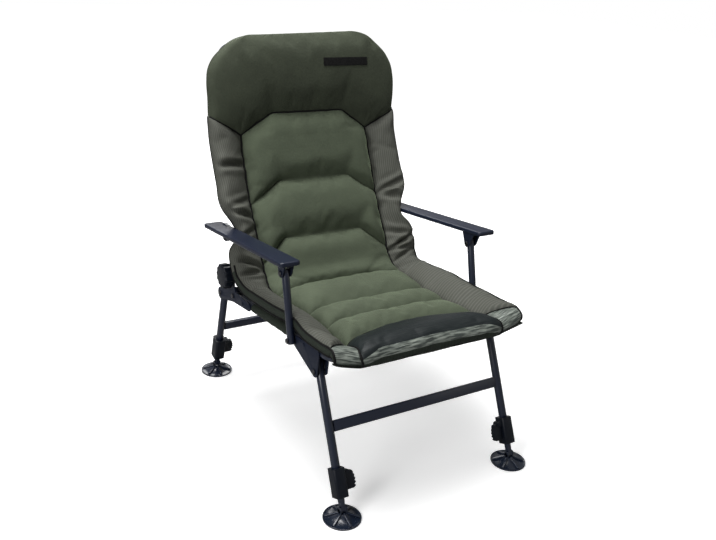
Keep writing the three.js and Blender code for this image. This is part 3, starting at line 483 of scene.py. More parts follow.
def pile_group():
    """Short brushed pile: speckle, lint and broad hand marks."""
    def build(tree, source):
        place = own_place(tree)
        fine = clouds(tree, place, 620.0, 4.0, Roughness=0.7)
        tuft = clouds(tree, place, 170.0, 5.0, Roughness=0.6)
        hand = clouds(tree, place, 11.0, 5.0, Distortion=0.8)
        brushed = blended(tree, ranged(tree, hand, 0.38, 0.66), source["Colour"], source["Brushed colour"])
        speck = ranged(tree, fine, 0.3, 0.75, end=0.5)
        return {
            "Colour": blended(tree, speck, brushed, source["Tip colour"]),
            "Height": calc(tree, "ADD", fine, calc(tree, "MULTIPLY", tuft, 1.6))}
    return effect(
        "Brushed pile",
        [("Colour", "colour", (0.06, 0.07, 0.04)), ("Brushed colour", "colour", (0.08, 0.09, 0.06)),
         ("Tip colour", "colour", (0.12, 0.13, 0.09))],
        [("Colour", "colour"), ("Height", "value")], build)


def scaled(colour, factor):
    return tuple(min(1.0, part * factor) for part in colour)


def moulded(name, group, colour, roughness, grain, strength, wear, coat=0.0, shine=0.5):
    def build(tree, shader):
        out = use(tree, group, {
            "Colour": colour, "Second colour": scaled(colour, 1.5), "Scale": grain,
            "Roughness": roughness, "Wear": wear})
        feed(tree, shader, {
            "Base Color": out["Colour"], "Roughness": out["Roughness"], "Specular IOR Level": shine,
            "Coat Weight": coat, "Coat Roughness": 0.2})
        bumped(tree, shader, out["Height"], strength, 0.0004)
    return surface(name, build)


def fleece(name, group, colour, sheen):
    def build(tree, shader):
        out = use(tree, group, {
            "Colour": scaled(colour, 0.86), "Brushed colour": scaled(colour, 1.12),
            "Tip colour": scaled(colour, 1.7)})
        feed(tree, shader, {
            "Base Color": out["Colour"], "Roughness": 0.95, "Sheen Weight": sheen,
            "Sheen Roughness": 0.35, "Sheen Tint": scaled(colour, 8)})
        bumped(tree, shader, out["Height"], 0.55, 0.0012)
    return surface(name, build)


def cloth(name, group, colour, roughness, threads, stripes, stripe_strength):
    def build(tree, shader):
        out = use(tree, group, {
            "Colour": colour, "Stripe colour": scaled(colour, 2.2), "Shade colour": scaled(colour, 0.55),
            "Threads": threads, "Stripes": stripes, "Stripe strength": stripe_strength,
            "Roughness": roughness})
        feed(tree, shader, {
            "Base Color": out["Colour"], "Roughness": out["Roughness"], "Specular IOR Level": 0.25})
        bumped(tree, shader, out["Height"], 0.5, 0.0005)
    return surface(name, build)


def gathered(name, group, colour, highlight_colour, highlight_share, roughness, depth, shine=0.4):
    def build(tree, shader):
        out = use(tree, group, {"Colour": colour, "Streak colour": highlight_colour, "Streaks": highlight_share})
        feed(tree, shader, {"Base Color": out["Colour"], "Roughness": roughness, "Specular IOR Level": shine})
        bumped(tree, shader, out["Height"], 0.6, depth)
    return surface(name, build)


FINISH = {}
HEM_COLOUR = (0.060, 0.072, 0.064)
# Painted highlights: light colours laid on the crease ridges of the gathered hem and the nylon, for light
# glinting on the crinkles
HEM_PAINTED_HIGHLIGHT = (0.38, 0.42, 0.37)
NYLON_PAINTED_HIGHLIGHT = (0.022, 0.028, 0.028)
ZINC = (0.05, 0.05, 0.055)
BINDING_BLACK = (0.003, 0.003, 0.003)


class CHAIR_OT_finishes(bpy.types.Operator):
    """Makes the materials and lays the paint on the frame nodes"""
    bl_idname = "chair.finishes"
    bl_label = "Finishes"

    def execute(self, context):
        tone = context.scene.chair_finishes
        grain, weave, pile, creases = grain_group(), weave_group(), pile_group(), crinkle_group()
        FINISH["paint"] = moulded("Satin paint", grain, tone.paint, 0.27, 700.0, 0.05, 0.1, 0.35)
        # Brackets and plates get a copy of the frame paint that is darkened as painted shade, with a rougher,
        # uncoated finish
        shaded_paint = scaled(tone.paint, 0.8)
        FINISH["plate"] = moulded("Dull paint", grain, shaded_paint, 0.5, 700.0, 0.08, 0.1, 0.0, 0.3)
        FINISH["black"] = moulded("Grained black", grain, tone.black, 0.38, 1500.0, 0.2, 0.1, 0.0, 0.3)
        FINISH["arm"] = moulded("Armrest plastic", grain, tone.arm, 0.32, 1300.0, 0.15, 0.1, 0.05, 0.4)
        FINISH["foot"] = moulded("Gloss black", grain, tone.foot, 0.20, 600.0, 0.04, 0.2, 0.5)
        FINISH["bolt"] = moulded("Blackened zinc", grain, ZINC, 0.28, 900.0, 0.1, 0.5)
        FINISH["bolt"].node_tree.nodes["Principled BSDF"].inputs["Metallic"].default_value = 0.8
        FINISH["fleece"] = fleece("Olive fleece", pile, tone.fleece, 0.35)
        FINISH["head"] = fleece("Dark olive fleece", pile, tone.head, 0.6)
        FINISH["woven"] = cloth("Striped woven", weave, tone.woven, 0.58, 1100.0, 170.0, 0.4)
        # The hem and the nylon carry a painted highlight on their crease ridges
        FINISH["hem"] = gathered("Gathered hem", creases, HEM_COLOUR, HEM_PAINTED_HIGHLIGHT, 0.9, 0.42, 0.003)
        FINISH["nylon"] = gathered("Nylon", creases, tone.nylon, NYLON_PAINTED_HIGHLIGHT, 0.5, 0.50, 0.0012, 0.25)
        FINISH["base"] = cloth("Base cloth", weave, tone.base, 0.7, 700.0, 120.0, 0.15)
        FINISH["binding"] = cloth("Black binding", weave, BINDING_BLACK, 0.7, 900.0, 200.0, 0.1)
        for name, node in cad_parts.items():
            kind = next((kind for part, kind in NODE_FINISH if part in name), "paint")
            node.data.materials.clear()
            node.data.materials.append(FINISH[kind])
        return {"FINISHED"}


# The finish of each frame node by a part of its name; the others are painted
NODE_FINISH = (
    ("bolt", "bolt"), ("knob", "black"), ("_lock", "black"), ("_lever", "black"), ("_foot", "foot"),
    ("armrest", "arm"), ("_sling", "base"),
)


# The mattress: each section has the side seam's Y and Z, the outer edge's Y and Z, the half-widths
# of seam and edge, and the depths at the middle and at the edge
SECTIONS = np.array((
    (-0.1860, 0.351, -0.180, 0.371, 0.190, 0.259, 0.008, 0.006),
    (-0.1925, 0.360, -0.186, 0.380, 0.194, 0.262, 0.014, 0.010),
    (-0.1910, 0.371, -0.184, 0.390, 0.197, 0.263, 0.016, 0.014),
    (-0.1830, 0.379, -0.174, 0.398, 0.197, 0.262, 0.010, 0.018),
    (-0.1680, 0.382, -0.163, 0.400, 0.192, 0.264, 0.006, 0.020),
    (-0.1400, 0.374, -0.140, 0.397, 0.190, 0.266, 0.028, 0.020),
    (-0.1120, 0.359, -0.108, 0.395, 0.189, 0.267, 0.034, 0.020),
    (-0.0600, 0.348, -0.050, 0.392, 0.182, 0.267, 0.036, 0.020),
    (-0.0140, 0.347, 0.000, 0.393, 0.179, 0.261, 0.037, 0.021),
    (0.0300, 0.345, 0.038, 0.392, 0.178, 0.260, 0.038, 0.021),
    (0.0870, 0.342, 0.098, 0.387, 0.179, 0.267, 0.038, 0.022),
    (0.1400, 0.341, 0.150, 0.381, 0.183, 0.268, 0.042, 0.022),
    (0.2000, 0.341, 0.207, 0.374, 0.190, 0.268, 0.045, 0.022),
    (0.2400, 0.343, 0.243, 0.370, 0.196, 0.268, 0.047, 0.022),
    (0.2660, 0.349, 0.266, 0.371, 0.197, 0.270, 0.046, 0.022),
    (0.2850, 0.359, 0.284, 0.380, 0.196, 0.274, 0.043, 0.022),
    (0.3000, 0.372, 0.297, 0.392, 0.195, 0.278, 0.040, 0.022),
    (0.3120, 0.388, 0.304, 0.409, 0.194, 0.280, 0.038, 0.022),
    (0.3260, 0.412, 0.312, 0.430, 0.195, 0.281, 0.038, 0.022),
    (0.3430, 0.443, 0.323, 0.456, 0.195, 0.277, 0.034, 0.022),
    (0.3640, 0.474, 0.336, 0.487, 0.195, 0.252, 0.027, 0.022),
    (0.3850, 0.509, 0.351, 0.518, 0.195, 0.258, 0.021, 0.022),
    (0.4060, 0.544, 0.372, 0.555, 0.195, 0.280, 0.016, 0.022),
    (0.4335, 0.605, 0.402, 0.609, 0.195, 0.281, 0.016, 0.022),
    (0.4645, 0.674, 0.432, 0.668, 0.194, 0.281, 0.019, 0.022),
    (0.4755, 0.704, 0.449, 0.705, 0.192, 0.281, 0.023, 0.022),
    (0.4790, 0.735, 0.460, 0.737, 0.192, 0.281, 0.028, 0.024),
    (0.4790, 0.765, 0.471, 0.765, 0.191, 0.281, 0.032, 0.027),
    (0.4820, 0.809, 0.480, 0.809, 0.188, 0.281, 0.037, 0.029),
    (0.4890, 0.850, 0.488, 0.850, 0.187, 0.281, 0.037, 0.030),
    (0.4965, 0.890, 0.496, 0.890, 0.180, 0.272, 0.036, 0.030),
    (0.5010, 0.913, 0.500, 0.913, 0.170, 0.257, 0.035, 0.030),
    (0.5050, 0.936, 0.504, 0.936, 0.152, 0.231, 0.034, 0.030),
    (0.5085, 0.952, 0.508, 0.952, 0.136, 0.210, 0.031, 0.028),
    (0.5105, 0.961, 0.510, 0.961, 0.124, 0.192, 0.029, 0.026),
    (0.5120, 0.968, 0.512, 0.968, 0.108, 0.168, 0.027, 0.024),
    (0.5130, 0.972, 0.513, 0.972, 0.084, 0.132, 0.025, 0.022),
))

# How far the seat's middle stands above its side seams: places along the seat, and heights
SEAT_ARCH = (
    (-0.168, -0.140, -0.112, -0.060, 0.140, 0.200, 0.240, 0.266, 0.285, 0.300),
    (0.0, 0.005, 0.014, 0.019, 0.017, 0.015, 0.011, 0.006, 0.002, 0.0),
)
ARCH_REACH = 0.045

# The same for the back: heights along the back, and depths
BACK_ARCH = (
    (0.443, 0.475, 0.511, 0.547, 0.608, 0.706, 0.736, 0.765, 0.809),
    (0.0, 0.003, 0.006, 0.008, 0.009, 0.009, 0.007, 0.004, 0.0),
)

# Pinched folds of the side panels: side, place on the seam line, lean, half-width and share of depth
PINCHES = (
    (-1, (0.443, 0.648), 0.020, 0.0080, 1.3), (-1, (0.400, 0.548), -0.018, 0.0065, 0.8),
    (-1, (0.386, 0.522), 0.026, 0.0075, 1.2), (-1, (0.362, 0.476), -0.020, 0.0070, 0.7),
    (-1, (0.320, 0.400), 0.030, 0.0080, 1.3), (-1, (0.303, 0.375), -0.016, 0.0065, 0.9),
    (1, (0.402, 0.553), 0.040, 0.0070, 1.3), (1, (0.388, 0.526), -0.012, 0.0065, 0.9),
    (1, (0.332, 0.425), -0.030, 0.0065, 0.9), (1, (0.319, 0.399), 0.030, 0.0065, 1.3),
    (1, (0.306, 0.379), -0.022, 0.0060, 1.0), (1, (0.289, 0.364), 0.018, 0.0065, 0.9),
    (1, (0.240, 0.354), -0.030, 0.0090, 0.5), (-1, (0.225, 0.355), 0.025, 0.0090, 0.5),
)

# Sewn lines across the mattress: places on the seam line at the middle, the side seam and the outer
# edge, the share of the half-width that is flat, the bow of the rest, and the name
CROSS_SEAMS = (
    ((-0.186, 0.350), (-0.186, 0.350), (-0.186, 0.350), 0.9, 1.0, "lip"),
    ((-0.066, 0.349), (-0.116, 0.361), (-0.172, 0.381), 0.1, 1.7, "nylon"),
    ((0.007, 0.346), (-0.004, 0.347), (-0.004, 0.347), 0.62, 1.0, "seat_one"),
    ((0.098, 0.342), (0.086, 0.342), (0.086, 0.342), 0.62, 1.0, "seat_two"),
    ((0.250, 0.345), (0.222, 0.342), (0.222, 0.342), 0.56, 1.0, "fold"),
    ((0.349, 0.455), (0.318, 0.399), (0.318, 0.399), 0.60, 1.0, "lumbar"),
    ((0.419, 0.594), (0.395, 0.540), (0.395, 0.540), 0.54, 1.0, "ribs"),
    ((0.475, 0.765), (0.469, 0.712), (0.475, 0.763), 0.56, 1.0, "head"),
    ((0.513, 0.970), (0.513, 0.970), (0.513, 0.970), 0.9, 1.0, "crown"),
)

# Cloths that the mattress is cut from, in the order of its materials
CLOTHS = ("fleece", "head", "woven", "nylon", "base", "hem")
FLEECE, HEAD, WOVEN, NYLON, BASE, HEM = range(len(CLOTHS))

SEAM_COLUMNS = 24
PANEL_COLUMNS = 12
SEAM_GAP_SHARE = 0.016
PANEL_GAP_SHARE = 0.035
WALL_POINTS = 3
HEAD_TILT = 0.035
HEAD_TILT_REACH = 0.16
HEAD_LEAN = 0.007
BOTTOM_ROWS = 3
HEM_ROWS = 5
BACK_WALL_Z = 0.40
READ_PLACES = 2400
SLOPE_STEP = 0.004
TUCK_SHARE = 0.7
LEAST_DEPTH = 0.002

# Reach of the rounded shoulders beside the sewn lines, and heights on the front edge panel
PAD_FORE_REACH = 0.030
PAD_AFT_REACH = 0.060
PAD_SIDE_REACH = 0.042
PANEL_SEAM_REACH = 0.062
PANEL_EDGE_REACH = 0.022
PANEL_HEAD_REACH = 0.03
ARCH_HEAD_REACH = 0.05
HEAD_SEAM_REACH = 0.07
HEAD_RIM_REACH = 0.075
NYLON_RISE = 0.012
NYLON_PANEL_SHARE = 0.2
RIM_RADIUS = 0.016
BACK_FROM_Z = 0.37
BACK_OVER_Z = 0.06

# A pinch has a dent between two swellings
PINCH_SWELL_SHARE = 0.55
PINCH_SWELL_PLACE = 2.1
PINCH_SWELL_WIDTH = 1.2

# The box of the seat's underside that lies over the rails and the front tube
UNDER_Y = (-0.172, 0.27)
UNDER_Z = (0.30, 0.42)
UNDER_FRONT_Y = -0.148
UNDER_GAP = 0.0012
WALL_BULGE = 0.0022
CROSS_STRETCH = (0.6, 1.0)
RIPPLE_PITCH = 22
RIPPLE_DEPTH = 0.0010
RAIL_X = (0.220, 0.258)
RAIL_TOP_REAR = 0.3144
RAIL_REAR_Y = 0.335
SEAT_SLOPE = math.tan(math.radians(7))


def read_curve(knots, values, places):
    """Smooth values between knots, without stepping over them."""
    slopes = np.gradient(values, knots)
    i = np.clip(np.searchsorted(knots, places) - 1, 0, len(knots) - 2)
    span = knots[i + 1] - knots[i]
    t = unit((places - knots[i]) / span)
    return ((2 * t ** 3 - 3 * t ** 2 + 1) * values[i] + (t ** 3 - 2 * t ** 2 + t) * span * slopes[i]
            + (3 * t ** 2 - 2 * t ** 3) * values[i + 1] + (t ** 3 - t ** 2) * span * slopes[i + 1])


def unit(values):
    return np.clip(values, 0, 1)


def rise(distance, reach):
    """A round shoulder: 0 at a seam, 1 from reach onwards."""
    return np.sqrt(1 - (1 - unit(np.abs(distance) / reach)) ** 2)


class Mattress:
    """The mattress's surface as a closed grid of rings, from the front lip to the crown."""

    def __init__(self, sizes):
        self.sizes = sizes
        steps = np.hypot(*np.diff(SECTIONS[:, :2], axis=0).T)
        self.knots = np.concatenate(([0.0], np.cumsum(steps)))
        self.length = self.knots[-1]
        self.lay_rows()
        self.lay_columns()

    def read(self, column, places):
        return read_curve(self.knots, SECTIONS[:, column], places)

    def along(self, point):
        places = np.linspace(0, self.length, READ_PLACES)
        away = np.hypot(self.read(0, places) - point[0], self.read(1, places) - point[1])
        return places[np.argmin(away)]

    def lay_rows(self):
        names = [seam[5] for seam in CROSS_SEAMS]
        at_middle, at_seam, at_edge = (
            np.array([self.along(seam[k]) for seam in CROSS_SEAMS]) for k in range(3))
        places, self.seam_rows = [0.0], {"lip": 0}
        for k in range(len(names) - 1):
            longest = max(at_middle[k + 1] - at_middle[k], at_seam[k + 1] - at_seam[k])
            count = max(4, round(longest / self.sizes.cell))
            crease = self.sizes.crease
            places.extend(np.linspace(at_seam[k] + crease, at_seam[k + 1] - crease, count))
            places.append(at_seam[k + 1])
            self.seam_rows[names[k + 1]] = len(places) - 1
        self.rows = np.array(places)
        self.row_middle = np.interp(self.rows, at_seam, at_middle)
        self.row_edge = np.interp(self.rows, at_seam, at_edge)
        self.row_flat = np.interp(self.rows, at_seam, [seam[3] for seam in CROSS_SEAMS])
        self.row_bow = np.interp(self.rows, at_seam, [seam[4] for seam in CROSS_SEAMS])

    def lay_columns(self):
        inner = np.append(np.linspace(0, 1 - SEAM_GAP_SHARE, SEAM_COLUMNS), 1)
        outer = 1 + np.linspace(PANEL_GAP_SHARE, 1, PANEL_COLUMNS)
        half = np.concatenate((inner, outer))
        self.columns = np.concatenate((-half[::-1], half[1:]))
        self.seam_columns = [int(np.argmin(np.abs(self.columns - side))) for side in (-1, 1)]

    def grid(self):
        """Places along the seam line and across it, for each row and column."""
        out = np.abs(self.columns)[None, :]
        row = self.rows[:, None]
        flat = self.row_flat[:, None]
        slant = unit((out - flat) / (1 - flat)) ** self.row_bow[:, None]
        inside = self.row_middle[:, None] * (1 - slant) + row * slant
        beyond = unit(out - 1)
        along = np.where(out <= 1, inside, row + (self.row_edge[:, None] - row) * beyond)
        seam = self.read(4, self.rows)[:, None]
        edge = self.read(5, self.row_edge)[:, None]
        across = np.where(out <= 1, out * seam, seam + (edge - seam) * beyond)
        return along, across * np.sign(self.columns)[None, :], beyond

    def points(self):
        along, across, beyond = self.grid()
        seam_y, seam_z = self.read(0, along), self.read(1, along)
        y = seam_y + (self.read(2, along) - seam_y) * beyond
        z = seam_z + (self.read(3, along) - seam_z) * beyond
        fore, aft = np.clip(along + SLOPE_STEP, 0, self.length), np.clip(along - SLOPE_STEP, 0, self.length)
        run_y = self.read(0, fore) - self.read(0, aft)
        run_z = self.read(1, fore) - self.read(1, aft)
        run = np.hypot(run_y, run_z)
        out_y, out_z = -run_z / run, run_y / run
        lift, tuck = self.padding(along, across, beyond)
        depth = self.read(6, along) * (1 - beyond) + self.read(7, along) * beyond
        front = np.stack((across, y + out_y * (lift - tuck), z + out_z * (lift - tuck)), axis=-1)
        back_depth = np.maximum(depth - TUCK_SHARE * tuck, tuck + LEAST_DEPTH)
        back = np.stack((across, y - out_y * back_depth, z - out_z * back_depth), axis=-1)
        self.clear_frame(back)
        from_head = unit((along - self.length + HEAD_TILT_REACH) / HEAD_TILT_REACH)
        foot = self.rows[self.seam_rows["head"]]
        over_head = unit((along - foot) / (self.length - foot))
        for face in (front, back):
            face[..., 2] += HEAD_TILT * across * from_head ** 2
            face[..., 0] += HEAD_LEAN * np.sin(np.pi * over_head)
        self.along_grid = along
        return front, back

    def padding(self, along, across, beyond):
        """How far each point stands above the seams, and how far the rounded rim turns back."""
        sizes = self.sizes
        from_lower, to_upper = np.full(along.shape, 1.0), np.full(along.shape, 1.0)
        for seam in CROSS_SEAMS[:-1]:
            past = along - along[self.seam_rows[seam[5]]][None, :]
            from_lower = np.where(past >= 0, np.minimum(from_lower, past), from_lower)
            to_upper = np.where(past <= 0, np.minimum(to_upper, -past), to_upper)
        head_row = self.seam_rows["head"]
        rows = np.arange(len(self.rows))[:, None]
        on_head = rows >= head_row
        on_nylon = rows <= self.seam_rows["nylon"]
        to_head = np.abs(along - along[head_row][None, :])
        seam = self.read(4, self.rows)[:, None]
        edge = self.read(5, self.row_edge)[:, None]
        to_seam = np.abs(np.abs(across) - seam)
        outline = np.minimum(unit(self.read(5, along) - np.abs(across)), self.length - along)
        on_back = unit((self.read(1, along) - BACK_FROM_Z) / BACK_OVER_Z)
        pad = sizes.seat_rise + (sizes.pad_rise - sizes.seat_rise) * on_back
        pad = np.where(on_nylon, NYLON_RISE, pad)
        centre = pad * rise(from_lower, PAD_FORE_REACH) * rise(to_upper, PAD_AFT_REACH)
        centre = centre * rise(to_seam, PAD_SIDE_REACH)
        arch = np.interp(self.read(0, along), *SEAT_ARCH) * (self.read(1, along) < BACK_WALL_Z)
        arch = arch + np.interp(self.read(1, along), *BACK_ARCH) * rise(to_head, ARCH_HEAD_REACH)
        centre = centre + arch * rise(to_seam, ARCH_REACH)
        to_edge = edge - np.abs(across)
        panel = sizes.side_rise * rise(to_seam, PANEL_SEAM_REACH) * rise(to_edge, PANEL_EDGE_REACH)
        panel = panel * rise(to_head, PANEL_HEAD_REACH)
        panel = np.where(on_nylon, NYLON_PANEL_SHARE * panel, panel)
        panel = panel + self.folds(along, across, beyond)
        head = sizes.head_rise * rise(to_head, HEAD_SEAM_REACH) * rise(outline, HEAD_RIM_REACH)
        lift = np.where(on_head, head, np.where(beyond == 0, centre, panel))
        inward = RIM_RADIUS - np.clip(outline, 0, RIM_RADIUS)
        turned = RIM_RADIUS - np.sqrt(RIM_RADIUS ** 2 - inward ** 2)
        return lift, np.where(on_head, turned, 0.0)

    def folds(self, along, across, beyond):
        """Pinched folds of the side panels at the armrest, the waist and the fold of the mattress."""
        total = np.zeros(along.shape)
        for side, place, lean, width, share in PINCHES:
            away = along - self.along(place) - lean * (beyond - 0.5)
            dent = -np.exp(-((away / width) ** 2))
            beside = (np.abs(away) - PINCH_SWELL_PLACE * width) / (PINCH_SWELL_WIDTH * width)
            swell = PINCH_SWELL_SHARE * np.exp(-(beside ** 2))
            total = total + np.where(np.sign(across) == side, share * (dent + swell), 0)
        return self.sizes.gather * total * np.sin(np.pi * unit(beyond)) ** 0.5

    def clear_frame(self, back):
        """Keeps the underside above the rails and the front tube."""
        x, y, z = np.abs(back[..., 0]), back[..., 1], back[..., 2]
        rail_top = RAIL_TOP_REAR + (RAIL_REAR_Y - y) * SEAT_SLOPE + UNDER_GAP
        on_seat = (y > UNDER_Y[0]) & (y < UNDER_Y[1]) & (z > UNDER_Z[0]) & (z < UNDER_Z[1])
        over_rail = on_seat & (x > RAIL_X[0]) & (x < RAIL_X[1])
        over_front = on_seat & (y < UNDER_FRONT_Y) & (x < RAIL_X[1])
        back[..., 2] = np.where(over_rail | over_front, np.maximum(z, rail_top), z)

    def mesh(self):
        front, back = self.points()
        rows, columns = front.shape[:2]
        walls = []
        for side in (-1, 0):
            outward_x = np.sign(front[:, side, 0])
            for k in range(1, WALL_POINTS + 1):
                share = k / (WALL_POINTS + 1)
                wall = front[:, side] * (1 - share) + back[:, side] * share
                wall[:, 0] += outward_x * WALL_BULGE * math.sin(math.pi * share)
                walls.append(wall)
        right, left = walls[:WALL_POINTS], walls[WALL_POINTS:]
        ring = np.concatenate(
            (front, np.stack(right, axis=1), back[:, ::-1], np.stack(left[::-1], axis=1)), axis=1)
        count = ring.shape[1]
        index = np.arange(rows * count).reshape(rows, count)
        following = np.roll(index, -1, axis=1)
        quads = np.stack((index[:-1], following[:-1], following[1:], index[1:]), axis=-1)
        quads = quads.reshape(-1, 4).tolist()
        finish = [self.finish_of(row, column, columns) for row in range(rows - 1) for column in range(count)]
        for end in (0, rows - 1):
            loop = index[end].tolist()
            last = 2 * columns + WALL_POINTS - 1
            for c in range(columns - 1):
                quads.append([loop[c], loop[c + 1], loop[last - c - 1], loop[last - c]])
                finish.append(HEAD if end else NYLON)
            quads.append(loop[columns - 1:columns + WALL_POINTS + 1])
            quads.append([*loop[last:], loop[0]])
            finish.extend((HEAD if end else WOVEN,) * 2)
        self.shape = (rows, columns, count)
        return ring.reshape(-1, 3), quads, finish

    def finish_of(self, row, column, columns):
        """The cloth that a face is cut from."""
        on_head = row >= self.seam_rows["head"]
        low, high = self.seam_columns
        if column < columns - 1:
            if on_head:
                return HEAD
            if row < self.seam_rows["nylon"]:
                gathered_row = row < HEM_ROWS or not low <= column < high
                return BASE if row < BOTTOM_ROWS else HEM if gathered_row else NYLON
            return FLEECE if low <= column < high else WOVEN
        if columns + WALL_POINTS <= column < 2 * columns + WALL_POINTS - 1:
            return BASE
        on_back = self.read(3, self.rows[row]) > BACK_WALL_Z and self.rows[row] > self.length / 3
        return HEAD if on_head else WOVEN if on_back else BASE

    def vertex(self, row, column):
        return row * self.shape[2] + column

    def held_points(self):
        """Seams, outer edges and the whole underside stay where they are sewn."""
        rows, columns, count = self.shape
        low, high = self.seam_columns
        held = set()
        head = self.seam_rows["head"]
        for row in range(rows):
            held.update(self.vertex(row, c) for c in range(columns, count))
            held.update(self.vertex(row, c) for c in (0, columns - 1))
            if row <= head:
                held.update(self.vertex(row, c) for c in (low, high))
            if row <= HEM_ROWS:
                held.update(self.vertex(row, c) for c in range(columns) if c < low or c > high)
        for name, row in self.seam_rows.items():
            reach = range(columns) if name in ("head", "lip", "crown", "nylon") else range(low, high + 1)
            held.update(self.vertex(row, c) for c in reach)
        return sorted(held)

    def cloth_map(self, mesh, finish):
        """A map of the cloth's own width and length in metres, crosswise on the seat's side panels."""
        rows, columns, count = self.shape
        ring = np.array([v.co for v in mesh.vertices]).reshape(rows, count, 3)
        half = (columns - 1) // 2
        steps = np.linalg.norm(np.diff(ring, axis=1), axis=2)
        width = np.concatenate((np.zeros((rows, 1)), np.cumsum(steps, axis=1)), axis=1)
        width -= width[:, half:half + 1]
        length = np.repeat(self.rows[:, None], count, axis=1)
        length[:, :columns] = self.along_grid
        flat = np.stack((width, length), axis=-1).reshape(-1, 2)
        corners = np.empty(len(mesh.polygons), dtype=np.int64)
        mesh.polygons.foreach_get("loop_total", corners)
        crosswise = (np.arange(len(finish)) // count < self.seam_rows["fold"]) & (finish == WOVEN)
        lay_cloth(mesh, flat, np.repeat(crosswise, corners))


CLOTH_SETTINGS = {
    "quality": 5, "mass": 0.25, "tension_stiffness": 18, "compression_stiffness": 12, "shear_stiffness": 6,
    "bending_stiffness": 0.35, "use_pressure": True, "shrink_min": -0.02,
}
STILL = 1e-9


def swelled(obj, held, sizes):
    """Inflates the cloth between its seams, and keeps the result within the swell limit."""
    group = obj.vertex_groups.new(name="Sewn")
    group.add(held, 1.0, "REPLACE")
    scene = bpy.context.scene
    start = np.array([v.co for v in obj.data.vertices])
    swelling = obj.modifiers.new("Cloth", "CLOTH")
    for key, value in CLOTH_SETTINGS.items():
        setattr(swelling.settings, key, value)
    swelling.settings.vertex_group_mass = group.name
    swelling.settings.uniform_pressure_force = sizes.pressure
    swelling.settings.effector_weights.gravity = 0
    swelling.collision_settings.use_collision = False
    swelling.point_cache.frame_start = 1
    swelling.point_cache.frame_end = sizes.frames
    for number in range(1, sizes.frames + 1):
        scene.frame_set(number)
    only(obj)
    bpy.ops.object.modifier_apply(modifier=swelling.name)
    scene.frame_set(1)
    moved = np.array([v.co for v in obj.data.vertices]) - start
    reach = np.linalg.norm(moved, axis=1, keepdims=True)
    eased = sizes.swell * np.tanh(reach / sizes.swell)
    moved = moved * np.where(reach > STILL, eased / np.maximum(reach, STILL), 0)
    moved[~np.isfinite(moved).all(axis=1)] = 0
    obj.data.vertices.foreach_set("co", (start + moved).astype(np.float32).ravel())
    obj.vertex_groups.clear()
    obj.data.update()


# How far the cords stand out of the cloth
SIDE_SEAM_LIFT = 0.0014
EDGE_LIFT = 0.0004
CROSS_SEAM_LIFT = 0.0006
NYLON_SEAM_LIFT = 0.0002
NYLON_SEAM_SHARE = 0.6

# The front border's tips and edges from the mattress's rim, and the label's place before the head pad
FLANGE_LEFT = np.array((-0.003, 0.004, -0.002))
FLANGE_RIGHT = np.array((0.021, 0.004, -0.010))
FLANGE_UPPER = np.array((0, -0.0010, 0.0015))
FLANGE_LOWER = np.array((0, 0.0030, -0.0070))
FLANGE_TIP = np.array((0, 0, 0.003))
FLANGE_THICKNESS = 0.0022
LABEL_PLACE = at(0.113, 0.36, 0.899)
LABEL_TILT = math.radians(80)
LABEL_GAP = 0.0006
LABEL_THICKNESS = 0.0010


def tube_along(points, radius, name):
    """A thin round cord of cloth through the points."""
    data = bpy.data.curves.new(name, "CURVE")
    data.dimensions = "3D"
    data.bevel_depth = radius
    data.bevel_resolution = 2
    data.use_fill_caps = True
    spline = data.splines.new("POLY")
    spline.points.add(len(points) - 1)
    spline.points.foreach_set("co", np.column_stack((points, np.ones(len(points)))).ravel())
    obj = bpy.data.objects.new(name, data)
    bpy.context.scene.collection.objects.link(obj)
    only(obj)
    bpy.ops.object.convert(target="MESH")
    made = bpy.context.object
    made.data.name = name
    cloth_layer(made.data)
    bpy.ops.object.shade_smooth()
    return made


